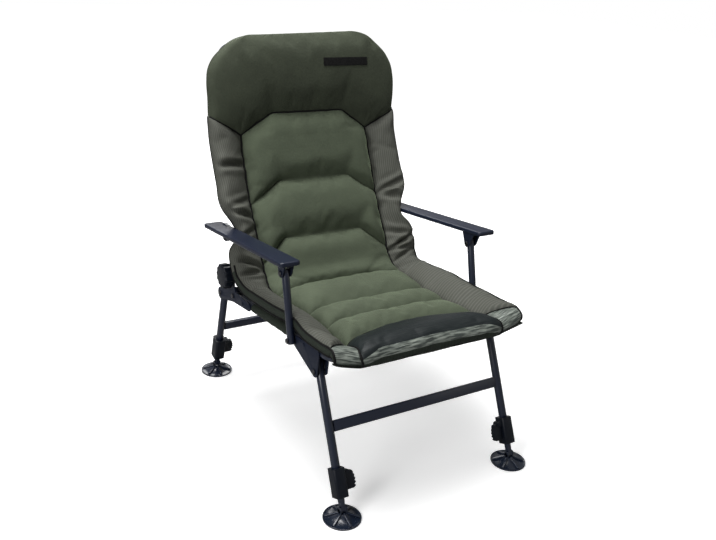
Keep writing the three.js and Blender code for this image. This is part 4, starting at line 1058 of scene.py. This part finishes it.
class CHAIR_OT_mattress(bpy.types.Operator):
    """Seat and back mattress: sewn pads, head pad, woven sides, nylon front edge and their seams"""
    bl_idname = "chair.mattress"
    bl_label = "Mattress"

    def execute(self, context):
        sizes = context.scene.chair_mattress
        mattress = Mattress(sizes)
        points, faces, finish = mattress.mesh()
        points[:, 1] += ZERO_Y
        ripple = np.array([noise.noise(Vector(p) * RIPPLE_PITCH) for p in points])[:, None]
        mesh = bpy.data.meshes.new("mattress")
        mesh.from_pydata(points.tolist(), [], faces)
        mesh.update()
        pad = bpy.data.objects.new("mattress", mesh)
        context.scene.collection.objects.link(pad)
        normals = np.array([v.normal for v in mesh.vertices])
        held = mattress.held_points()
        free = np.ones((len(points), 1))
        free[held] = 0
        rippled = points + normals * ripple * free * RIPPLE_DEPTH
        mesh.vertices.foreach_set("co", rippled.astype(np.float32).ravel())
        for kind in CLOTHS:
            mesh.materials.append(FINISH[kind])
        mesh.polygons.foreach_set("material_index", finish)
        mattress.cloth_map(mesh, np.array(finish))
        outward(pad)
        swelled(pad, held, sizes)
        modified(pad, "SUBSURF", levels=1, render_levels=1)
        only(pad)
        bpy.ops.object.shade_smooth()
        trims = self.trims(pad, mattress, sizes)
        trims.append(self.flange(pad, mattress))
        label = self.label(pad, sizes)
        for piece in (pad, *trims, label):
            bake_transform(piece)
        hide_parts("seat_cushion", "back_cushion")
        return {"FINISHED"}

    def trims(self, pad, mattress, sizes):
        """Cords along the seams and the outer edges."""
        place = np.array([v.co for v in pad.data.vertices])
        facing = np.array([v.normal for v in pad.data.vertices])
        columns = mattress.shape[1]
        head = mattress.seam_rows["head"]
        waist = mattress.seam_rows["lumbar"]
        low, high = mattress.seam_columns
        trims = []

        def run(name, spots, radius, lift):
            cord = tube_along(place[spots] + facing[spots] * lift, radius, name)
            cord.data.materials.append(FINISH["binding"])
            trims.append(cord)

        def lengthwise(column, rows):
            return [mattress.vertex(row, column) for row in range(rows)]

        def crosswise(row):
            return [mattress.vertex(row, column) for column in range(columns)]

        far = 2 * columns + WALL_POINTS - 1
        near = columns + WALL_POINTS
        for label, seam, edge, lower in (("left", low, 0, far), ("right", high, columns - 1, near)):
            run(f"side_seam_{label}", lengthwise(seam, head + 1), sizes.binding, SIDE_SEAM_LIFT)
            run(f"edge_piping_{label}", lengthwise(edge, waist), sizes.edging, EDGE_LIFT)
            run(f"lower_piping_{label}", lengthwise(lower, head + 1), sizes.edging, EDGE_LIFT)
        run("head_seam", crosswise(head), sizes.binding, CROSS_SEAM_LIFT)
        nylon = crosswise(mattress.seam_rows["nylon"])
        run("nylon_seam", nylon, sizes.binding * NYLON_SEAM_SHARE, NYLON_SEAM_LIFT)
        run("front_piping", crosswise(0), sizes.edging, CROSS_SEAM_LIFT)
        return trims

    def flange(self, pad, mattress):
        """The flat sewn border that stands out under the front edge and past its corners."""
        columns = mattress.shape[1]
        rim = np.array([pad.data.vertices[mattress.vertex(0, c)].co for c in range(columns)])
        start, end = rim[0] + FLANGE_LEFT, rim[-1] + FLANGE_RIGHT
        upper = np.concatenate(([start], rim + FLANGE_UPPER, [end]))
        lower = np.concatenate(([start - FLANGE_TIP], rim + FLANGE_LOWER, [end - FLANGE_TIP]))
        corner = mattress.seam_columns[1] + 1
        share = np.linspace(0, 1, len(lower) - corner)[:, None]
        lower[corner:] = lower[corner] * (1 - share) + lower[-1] * share
        count = len(upper)
        faces = [(c, c + 1, count + c + 1, count + c) for c in range(count - 1)]
        mesh = bpy.data.meshes.new("front_flange")
        mesh.from_pydata([*upper.tolist(), *lower.tolist()], [], faces)
        cloth_layer(mesh)
        strip = bpy.data.objects.new("front_flange", mesh)
        bpy.context.scene.collection.objects.link(strip)
        outward(strip)
        modified(strip, "SOLIDIFY", thickness=FLANGE_THICKNESS, offset=0)
        bevelled(strip, 0.0005, 1, 50)
        return finished(strip, "front_flange", FINISH["base"], 40)

    def label(self, pad, sizes):
        """The bare label sewn on the head pad."""
        clear_selection()
        bpy.ops.mesh.primitive_grid_add(x_subdivisions=16, y_subdivisions=6, size=1)
        label = bpy.context.object
        label.scale = (sizes.label_width, sizes.label_height, 1)
        label.rotation_euler = (LABEL_TILT, 0, 0)
        label.location = LABEL_PLACE
        settled(label)
        modified(
            label, "SHRINKWRAP", target=pad, wrap_method="PROJECT", use_project_y=True,
            use_project_z=False, use_negative_direction=True, use_positive_direction=True,
            offset=LABEL_GAP)
        modified(label, "SOLIDIFY", thickness=LABEL_THICKNESS, offset=1)
        bevelled(label, 0.0003, 1)
        cloth_layer(label.data)
        return finished(label, "label", FINISH["binding"])


# The sleeves' gap to the brackets, their stand-off from the rails, and their ripples
SLEEVE_GAP = 0.002
SLEEVE_OUT = 0.0012
SLEEVE_RIPPLE = 0.0010
SLEEVE_CUTS = 40
SLEEVE_LONG = 0.05


class CHAIR_OT_seat_frame(bpy.types.Operator):
    """Rails with their front corners, the front tube, the spreader, brackets and hinge plates"""
    bl_idname = "chair.seat_frame"
    bl_label = "Seat frame"

    def execute(self, context):
        sizes = context.scene.chair_frame
        front = middle("seat_front_tube")
        radius = size("seat_front_tube").z / 2
        rail_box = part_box("seat_rail_right")
        track = rail_box[1].x - radius
        rear_y = rail_box[1].y
        rear_z = front.z - (rear_y - front.y) * SEAT_SLOPE
        corners = [
            Vector((track, rear_y - radius * SEAT_SLOPE / 2, rear_z)),
            Vector((track, front.y, front.z)),
            Vector((rail_box[0].x, front.y, front.z)),
        ]
        rail = finished(bent_tube(corners, radius, sizes.bend), "seat_rail_tube_right", FINISH["paint"])
        other = mirror_copy(rail, "seat_rail_tube_left")
        on_body(rail, "seat", "frame_steel", "seat_rail_right")
        on_body(other, "seat", "frame_steel", "seat_rail_left")
        self.sleeves(corners[0], corners[1], radius)
        for node in ("seat_front_tube", "seat_rear_tube"):
            cross_tube(node, "seat")
        for label, _ in SIDES:
            for node in (f"front_bracket_{label}", f"hinge_plate_{label}", f"rear_bracket_{label}"):
                pressed(node, "seat", sizes.edge, "plate")
        return {"FINISHED"}

    def sleeves(self, rear, front, radius):
        """Cloth sleeves of the seat's base round the rails, between bracket and hinge plate."""
        def spot(y):
            return front.lerp(rear, (y - front.y) / (rear.y - front.y))

        start = spot(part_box("front_bracket_right")[1].y + SLEEVE_GAP)
        end = spot(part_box("hinge_plate_right")[0].y - SLEEVE_GAP)
        tube = settled(cylinder(start, end, radius + SLEEVE_OUT, 40))
        cloth_layer(tube.data)
        opened(tube, "DESELECT")
        shape = bmesh.from_edit_mesh(tube.data)
        caps = [face for face in shape.faces if len(face.verts) > 4]
        bmesh.ops.delete(shape, geom=caps, context="FACES_ONLY")
        lengthwise = [edge for edge in shape.edges if edge.calc_length() > SLEEVE_LONG]
        bmesh.ops.subdivide_edges(shape, edges=lengthwise, cuts=SLEEVE_CUTS, use_grid_fill=True)
        for vert in shape.verts:
            out = vert.co - spot(vert.co.y)
            ripple = noise.noise(vert.co * 55) + 0.5 * noise.noise(vert.co * 140)
            vert.co += out.normalized() * max(-SLEEVE_OUT / 2, SLEEVE_RIPPLE * ripple)
        bmesh.update_edit_mesh(tube.data)
        closed()
        sleeve = finished(tube, "rail_sleeve_right", FINISH["base"], 60)
        other = mirror_copy(sleeve, "rail_sleeve_left")
        for made, rail in ((sleeve, "seat_rail_right"), (other, "seat_rail_left")):
            on_body(made, "seat", "webbing")


def cross_tube(node, body):
    """A straight tube along X in a node's place."""
    low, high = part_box(node)
    centre = (low + high) / 2
    start, end = Vector((low.x, centre.y, centre.z)), Vector((high.x, centre.y, centre.z))
    made = bevelled(cylinder(start, end, (high.z - low.z) / 2), 0.0006, 1, 60)
    on_body(finished(made, f"{node}_round", FINISH["paint"]), body, "frame_steel", node)


def pressed(node, body, edge, kind="paint", slot="frame_steel"):
    """A pressed or moulded node with rounded edges in the node's place."""
    made = finished(refined(node, edge), f"{node}_shaped", FINISH[kind], 30)
    on_body(made, body, slot, node)


BACK_PIVOT = at(0, 0.360, 0.305)
BACK_LOW_Z = 0.291
BACK_BENDS = (0.490, 0.735)
BACK_LEANS = (math.atan(40 / 153), math.radians(25.5), math.radians(10.5))
KNOB_EDGE = 0.0012


def back_y(z):
    """Y of the back's side tubes at a height."""
    low, middle_part, top = (math.tan(lean) for lean in BACK_LEANS)
    first, second = BACK_BENDS
    return (BACK_PIVOT.y + (min(z, first) - BACK_PIVOT.z) * low
            + max(0, min(z, second) - first) * middle_part + max(0, z - second) * top)


class CHAIR_OT_back_frame(bpy.types.Operator):
    """Bent side tubes of the back, the top tube and the cross tube"""
    bl_idname = "chair.back_frame"
    bl_label = "Back frame"

    def execute(self, context):
        sizes = context.scene.chair_frame
        low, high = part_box("back_tube_right")
        radius = size("back_top_tube").z / 2
        track = high.x - radius
        top_z = middle("back_top_tube").z
        corners = [Vector((track, back_y(z), z)) for z in (BACK_LOW_Z, *BACK_BENDS, top_z)]
        corners.append(Vector((low.x, back_y(top_z), top_z)))
        tube = finished(bent_tube(corners, radius, sizes.bend), "back_side_tube_right", FINISH["paint"])
        other = mirror_copy(tube, "back_side_tube_left")
        on_body(tube, "backrest", "frame_steel", "back_tube_right")
        on_body(other, "backrest", "frame_steel", "back_tube_left")
        for node in ("back_top_tube", "back_cross_tube"):
            cross_tube(node, "backrest")
        for label, _ in SIDES:
            pressed(f"knob_{label}", f"clamp_knob_{label}", KNOB_EDGE, "black", "black_plastic")
        return {"FINISHED"}


# The armrest's rounding, and the ear under it, which flares into the pad
ARM_CORNER = 0.010
ARM_EDGE = 0.0032
LUG_INSET = 0.0023
LUG_SIZE = 0.010
LUG_HEIGHT = 0.030
LUG_CENTRE = 0.006
LUG_FLARE = (1, 1.7, 0.4)
ABOVE_BOLT = 0.001


class CHAIR_OT_arms(bpy.types.Operator):
    """Armrests, their brackets and the arm posts"""
    bl_idname = "chair.arms"
    bl_label = "Arms"

    def execute(self, context):
        sizes = context.scene.chair_frame
        low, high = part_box("armrest_right")
        width = high.x - low.x
        drop = sizes.arm_thickness
        length = (high.y - low.y - drop * math.sin(sizes.arm_slope)) / math.cos(sizes.arm_slope)
        clear_selection()
        bpy.ops.mesh.primitive_cube_add(size=1, scale=(width, length, drop))
        arm = settled(bpy.context.object)
        self.round_upright(arm, ARM_CORNER)
        bevelled(arm, ARM_EDGE, 4, 50)
        arm.location = ((low.x + high.x) / 2, (low.y + high.y) / 2, 0)
        arm.rotation_euler = (-sizes.arm_slope, 0, 0)
        settled(arm)
        top = max(v.co.z for v in arm.data.vertices)
        arm.data.transform(Matrix.Translation((0, 0, high.z - top)))
        arm = finished(joined(arm, self.lug()), "armrest_pad_right", FINISH["arm"])
        other = mirror_copy(arm, "armrest_pad_left")
        on_body(arm, "arm_right", "arm_plastic", "armrest_right")
        on_body(other, "arm_left", "arm_plastic", "armrest_left")
        for label, _ in SIDES:
            pressed(f"arm_bracket_{label}", f"arm_{label}", sizes.edge, "plate")
            self.post(label, sizes)
        return {"FINISHED"}

    def round_upright(self, arm, radius):
        """Rounds the armrest's four upright edges."""
        def upright(edge):
            way = edge.verts[0].co - edge.verts[1].co
            return abs(way.z) > 0.9 * way.length

        picked(arm, "edges", upright, "EDGE")
        bpy.ops.mesh.bevel(offset=radius, segments=8)
        bpy.ops.mesh.select_mode(type="VERT")
        closed()

    def lug(self):
        """The ear under the armrest's rear end, on the bolt through the back tube."""
        bolt = middle("arm_rear_bolt_right")
        start = Vector((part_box("armrest_right")[0].x + LUG_INSET, bolt.y, bolt.z))
        ear = settled(cylinder(start, start + Vector((LUG_SIZE, 0, 0)), LUG_SIZE))
        picked(ear, "verts", lambda vert: vert.co.z > bolt.z + ABOVE_BOLT)
        bpy.ops.transform.translate(value=(0, 0, LUG_HEIGHT))
        centre = (start.x, bolt.y, bolt.z + LUG_HEIGHT + LUG_CENTRE)
        bpy.ops.transform.resize(value=LUG_FLARE, center_override=centre)
        closed()
        return bevelled(ear, 0.0012, 2, 50)

    def post(self, label, sizes):
        foot, head = middle(f"post_bolt_{label}"), middle(f"arm_front_bolt_{label}")
        foot.x = head.x = middle(f"arm_post_{label}").x
        way = (head - foot).normalized() * sizes.post_radius
        made = bevelled(cylinder(foot - way, head + way, sizes.post_radius), 0.0018, 3, 60)
        made = finished(made, f"post_{label}_round", FINISH["paint"])
        on_body(made, f"post_{label}", "frame_steel", f"arm_post_{label}")


# Bolts: depth of heads and nuts, the heads' dome, the shank, and the spacers' ends and radii
HEAD_DEPTH = 0.0036
HEAD_DOME = 0.0020
SHANK_RADIUS = 0.0032
SHANK_END = 0.002
COLLARS = {"back_pivot_bolt": (0.2344, 0.2560, 0.007), "arm_rear_bolt": (0.2310, 0.2560, 0.006)}


class CHAIR_OT_bolts(bpy.types.Operator):
    """Domed bolts with hexagon nuts at every pivot"""
    bl_idname = "chair.bolts"
    bl_label = "Bolts"

    def execute(self, context):
        for label, side in SIDES:
            for kind in ("front_leg_bolt", "rear_leg_bolt", "back_pivot_bolt", "post_bolt"):
                self.bolt(kind, label, "seat", side)
            for kind in ("arm_front_bolt", "arm_rear_bolt"):
                self.bolt(kind, label, f"arm_{label}", side)
        return {"FINISHED"}

    def bolt(self, kind, label, body, side):
        node = f"{kind}_{label}"
        low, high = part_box(node)
        centre = (low + high) / 2
        outer, inner = (high.x, low.x) if side > 0 else (low.x, high.x)
        head_radius = (high.z - low.z) / 2

        def turned(start, end, radius, sides):
            return cylinder(
                Vector((start, centre.y, centre.z)), Vector((end, centre.y, centre.z)), radius, sides)

        head = bevelled(turned(outer - side * HEAD_DEPTH, outer, head_radius, 28), HEAD_DOME, 4, 60)
        parts = [turned(inner, outer - side * SHANK_END, SHANK_RADIUS, 20)]
        if kind != "post_bolt":
            nut = turned(inner, inner + side * HEAD_DEPTH, head_radius, 6)
            parts.append(bevelled(nut, 0.0005, 1, 50))
        if kind in COLLARS:
            near, far, radius = COLLARS[kind]
            parts.append(turned(side * near, side * far, radius, 24))
        made = finished(joined(head, *parts), f"{node}_turned", FINISH["bolt"])
        on_body(made, body, "bolt_steel", node)


# The rounding of locks and levers, the foot's pin, and the eye on it at the sliding leg's end
LOCK_EDGE = 0.0016
LEVER_EDGE = 0.0006
PIN_HEIGHT = 0.024
PIN_RADIUS = 0.003
EYE_REACH = 0.016
EYE_HALF_WIDTH = 0.005
EYE_RADIUS = 0.007
NECK_LENGTH = 0.022


class CHAIR_OT_legs(bpy.types.Operator):
    """Legs, crossbars, sliding inner legs, lock housings and their levers"""
    bl_idname = "chair.legs"
    bl_label = "Legs"

    def execute(self, context):
        sizes = context.scene.chair_frame
        for pair in PAIRS:
            pivot = middle(f"{pair}_leg_bolt_right")
            foot = middle(f"{pair}_foot_right")
            pin = Vector((foot.x, foot.y, PIN_HEIGHT))
            down = Vector((0, pin.y - pivot.y, pin.z - pivot.z)).normalized()
            pressed(f"{pair}_crossbar", f"{pair}_legs", LOCK_EDGE)
            for label, side in SIDES:
                top = Vector((side * pin.x, pivot.y, pivot.z))
                self.outer_leg(pair, label, top, down, sizes)
                self.inner_leg(pair, label, Vector((side * pin.x, pin.y, pin.z)), down, sizes)
                pressed(f"{pair}_lock_{label}", f"{pair}_legs", LOCK_EDGE, "black", "black_plastic")
                pressed(
                    f"{pair}_lever_{label}", f"{pair}_cam_{label}", LEVER_EDGE, "black", "black_plastic")
        return {"FINISHED"}

    def outer_leg(self, pair, label, pivot, down, sizes):
        node = f"{pair}_leg_{label}"
        low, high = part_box(node)
        spread_z = sizes.leg_radius * abs(down.y)
        head = pivot + down * ((high.z - spread_z - pivot.z) / down.z)
        tail = pivot + down * ((low.z + spread_z - pivot.z) / down.z)
        made = bevelled(cylinder(head, tail, sizes.leg_radius), 0.0012, 2, 60)
        on_body(finished(made, f"{node}_round", FINISH["paint"]), f"{pair}_legs", "frame_steel", node)

    def inner_leg(self, pair, label, pin, down, sizes):
        node = f"{pair}_inner_leg_{label}"
        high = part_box(node)[1]
        top = pin + down * ((high.z - sizes.inner_radius * abs(down.y) - pin.z) / down.z)
        tube = bevelled(cylinder(top, pin - down * EYE_REACH, sizes.inner_radius), 0.0010, 2, 60)
        half = Vector((EYE_HALF_WIDTH, 0, 0))
        eye = cylinder(pin - half, pin + half, EYE_RADIUS, 28)
        side = Vector((EYE_HALF_WIDTH, EYE_RADIUS, 0))
        neck = block(-side, side + Vector((0, 0, NECK_LENGTH)))
        lean = Vector((0, 0, 1)).rotation_difference(-down).to_matrix().to_4x4()
        neck.data.transform(Matrix.Translation(pin) @ lean)
        eye = bevelled(joined(eye, neck), 0.0006, 1, 60)
        made = finished(joined(tube, eye), f"{node}_round", FINISH["paint"])
        on_body(made, f"{pair}_extension_{label}", "frame_steel", node)


# The foot: ears beside the eye, plate, rings from the rim inwards (inset and lift), and ribs
EAR_X = (0.0053, 0.0093)
EAR_RADIUS = 0.008
EAR_FOOT_Z = 0.010
PLATE_DEPTH = 0.004
DISH_RINGS = (
    (0.0025, 0.0), (0.0015, -0.0012), (0.010, 0.0016), (0.009, 0.0030), (0.008, 0.0040), (0.003, 0.0036))
RIB_COUNT = 6
RIB_START = (0.006, -0.0030, 0.003)
RIB_TOP = 0.0190
RIB_FALL = 0.0125
RIB_REACH_SHARE = 0.90


class CHAIR_OT_feet(bpy.types.Operator):
    """Round mud feet: a dished pad with ribs, a hub, two ears and the pin"""
    bl_idname = "chair.feet"
    bl_label = "Feet"

    def execute(self, context):
        foot = None
        for pair in PAIRS:
            for label, _ in SIDES:
                node = f"{pair}_foot_{label}"
                low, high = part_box(node)
                centre = (low + high) / 2
                if foot is None:
                    foot = self.foot((high.x - low.x) / 2)
                made = own_copy(foot, f"{node}_dish")
                made.data.transform(Matrix.Translation((centre.x, centre.y, 0)))
                on_body(made, f"{pair}_dish_{label}", "foot_plastic", node)
        bpy.data.objects.remove(foot)
        return {"FINISHED"}

    def foot(self, radius):
        clear_selection()
        bpy.ops.mesh.primitive_cylinder_add(
            vertices=72, radius=radius, depth=PLATE_DEPTH, location=(0, 0, PLATE_DEPTH / 2))
        dish = settled(bpy.context.object)
        picked(dish, "faces", lambda face: face.normal.z > 0.9)
        for inset, lift in DISH_RINGS:
            bpy.ops.mesh.inset(thickness=inset, depth=0)
            bpy.ops.transform.translate(value=(0, 0, lift))
        closed()
        dish = bevelled(dish, 0.0009, 2, 35)
        ribs = [self.rib(i, radius) for i in range(RIB_COUNT)]
        ears = [self.ear(side) for side in (-1, 1)]
        half = Vector((EAR_X[1], 0, 0))
        centre = Vector((0, 0, PIN_HEIGHT))
        pin = cylinder(centre - half, centre + half, PIN_RADIUS, 20)
        return finished(joined(dish, *ribs, *ears, pin), "foot", FINISH["foot"], 32)

    def ear(self, side):
        """An upright ear beside the leg's eye."""
        inner, outer = side * EAR_X[0], side * EAR_X[1]
        eye = cylinder(Vector((inner, 0, PIN_HEIGHT)), Vector((outer, 0, PIN_HEIGHT)), EAR_RADIUS, 28)
        low = Vector((min(inner, outer), -EAR_RADIUS, EAR_FOOT_Z))
        high = Vector((max(inner, outer), EAR_RADIUS, PIN_HEIGHT))
        return bevelled(joined(eye, block(low, high)), 0.0008, 2, 60)

    def rib(self, number, radius):
        """A rib that falls from the hub to the rim."""
        start = Vector(RIB_START)
        rib = block(start, Vector((radius * RIB_REACH_SHARE, -start.y, RIB_TOP)))
        picked(rib, "verts", lambda vert: vert.co.x > radius / 2 and vert.co.z > RIB_TOP / 2)
        bpy.ops.transform.translate(value=(0, 0, -RIB_FALL))
        closed()
        rib.data.transform(Matrix.Rotation(math.tau * (number + 0.5) / RIB_COUNT, 4, "Z"))
        return bevelled(rib, 0.0016, 3, 50)


class CHAIR_OT_slings(bpy.types.Operator):
    """Suspension cloth of the seat and of the back"""
    bl_idname = "chair.slings"
    bl_label = "Slings"

    def execute(self, context):
        self.stretched("seat_sling", "seat", ("seat_rail_left", "seat_rail_right"))
        self.stretched("back_sling", "backrest", ("back_tube_left", "back_tube_right"))
        return {"FINISHED"}

    def stretched(self, node, body, rests):
        sling = refined(node, 0)
        opened(sling)
        bpy.ops.mesh.subdivide(number_cuts=2)
        closed()
        co = np.array([v.co for v in sling.data.vertices])
        lay_cloth(sling.data, np.stack((co[:, 0], np.abs(co[:, 1]) + co[:, 2]), axis=-1))
        made = finished(sling, f"{node}_cloth", FINISH["base"], 60)
        on_body(made, body, "webbing", node)


# Camera fitted to the photograph, and the studio
CAMERA_PLACE = (-1.05143, -1.62778, 1.20654)
CAMERA_YAW = math.radians(32.36)
CAMERA_PITCH = math.radians(-21.81)
CAMERA_ROLL = math.radians(3.89)
CAMERA_LENS = 40.79
CAMERA_SHIFT = (0.00655, -0.0058)
LAMPS = (
    ("key", (-3.0, -1.2, 1.9), 1.2, 56), ("fill", (2.4, -2.0, 1.5), 1.8, 4),
    ("crown", (-0.3, 0.45, 3.0), 1.6, 84), ("rim", (0.8, 2.6, 1.9), 1.4, 26),
)
LAMP_TARGET = (0, 0, 0.45)


class CHAIR_OT_stage(bpy.types.Operator):
    """Pale floor, soft lights, white surroundings and the camera"""
    bl_idname = "chair.stage"
    bl_label = "Stage"

    def execute(self, context):
        self.floor()
        self.surroundings(context)
        for name, place, width, power in LAMPS:
            self.lamp(context, name, Vector(place), width, power)
        self.camera(context)
        context.scene.view_settings.view_transform = "Standard"
        return {"FINISHED"}

    def lamp(self, context, name, place, width, power):
        data = bpy.data.lights.new(name, "AREA")
        data.energy = power
        data.size = width
        lamp = bpy.data.objects.new(name, data)
        context.scene.collection.objects.link(lamp)
        lamp.location = place
        lamp.rotation_euler = (place - Vector(LAMP_TARGET)).to_track_quat("Z", "Y").to_euler()

    def floor(self):
        clear_selection()
        bpy.ops.mesh.primitive_plane_add(size=24, location=(0, 0, 0))
        floor = bpy.context.object
        floor.name = "floor"

        def build(tree, shader):
            seen = add(tree, "ShaderNodeLightPath").outputs["Is Camera Ray"]
            away = add(tree, "ShaderNodeVectorMath", {0: own_place(tree)}, operation="LENGTH")
            glow = ranged(tree, away.outputs["Value"], 0.4, 2.4, 0.48)
            feed(tree, shader, {
                "Roughness": 0.9, "Base Color": blended(tree, seen, (0.32,) * 3, (0.90,) * 3),
                "Emission Color": (1, 1, 1), "Emission Strength": calc(tree, "MULTIPLY", seen, glow)})

        floor.data.materials.append(surface("Pale floor", build))

    def surroundings(self, context):
        world = bpy.data.worlds.new("Studio")
        world.use_nodes = True
        tree = world.node_tree
        shade = tree.nodes["Background"]
        path = add(tree, "ShaderNodeLightPath").outputs
        seen = calc(tree, "MAXIMUM", path["Is Camera Ray"], path["Is Transmission Ray"])
        seen = calc(tree, "MAXIMUM", seen, calc(tree, "MULTIPLY", path["Is Glossy Ray"], 0.25))
        feed(tree, shade, {"Color": (1, 1, 1), "Strength": calc(tree, "MAXIMUM", seen, 0.07)})
        context.scene.world = world

    def camera(self, context):
        data = bpy.data.cameras.new("camera")
        data.lens = CAMERA_LENS
        data.sensor_width = 36.0
        data.shift_x, data.shift_y = CAMERA_SHIFT
        data.clip_end = 60
        camera = bpy.data.objects.new("camera", data)
        context.scene.collection.objects.link(camera)
        ahead = Vector((
            math.sin(CAMERA_YAW) * math.cos(CAMERA_PITCH),
            math.cos(CAMERA_YAW) * math.cos(CAMERA_PITCH),
            math.sin(CAMERA_PITCH)))
        right = Vector((math.cos(CAMERA_YAW), -math.sin(CAMERA_YAW), 0))
        up = right.cross(ahead)
        turn, tilt = math.cos(CAMERA_ROLL), math.sin(CAMERA_ROLL)
        image_x = right * turn + up * tilt
        image_y = up * turn - right * tilt
        turned = Matrix((image_x, image_y, -ahead)).transposed().to_4x4()
        camera.matrix_world = Matrix.Translation(CAMERA_PLACE) @ turned
        context.scene.camera = camera


class CHAIR_PT_panel(bpy.types.Panel):
    """Lists the chair's sizes, finishes and making steps"""
    bl_idname = "CHAIR_PT_panel"
    bl_label = "Fishing chair"
    bl_space_type = "VIEW_3D"
    bl_region_type = "UI"
    bl_category = "Chair"

    def draw(self, context):
        for group in ("chair_mattress", "chair_frame", "chair_finishes"):
            settings = getattr(context.scene, group)
            column = self.layout.box().column()
            for name in settings.__annotations__:
                column.prop(settings, name)
        for step in STEPS:
            self.layout.operator(step.bl_idname)


STEPS = (
    CHAIR_OT_finishes, CHAIR_OT_stage, CHAIR_OT_mattress, CHAIR_OT_seat_frame, CHAIR_OT_back_frame,
    CHAIR_OT_arms, CHAIR_OT_bolts, CHAIR_OT_legs, CHAIR_OT_feet, CHAIR_OT_slings,
)
GROUPS = (("chair_mattress", MattressSizes), ("chair_frame", FrameSizes), ("chair_finishes", Finishes))


def register():
    for name, group in GROUPS:
        bpy.utils.register_class(group)
        setattr(bpy.types.Scene, name, PointerProperty(type=group))
    for step in (*STEPS, CHAIR_PT_panel):
        bpy.utils.register_class(step)


def unregister():
    for step in reversed((*STEPS, CHAIR_PT_panel)):
        bpy.utils.unregister_class(step)
    for name, group in reversed(GROUPS):
        delattr(bpy.types.Scene, name)
        bpy.utils.unregister_class(group)


def main():
    register()
    for step in STEPS:
        area, name = step.bl_idname.split(".")
        getattr(getattr(bpy.ops, area), name)()


if __name__ == "__main__":
    main()
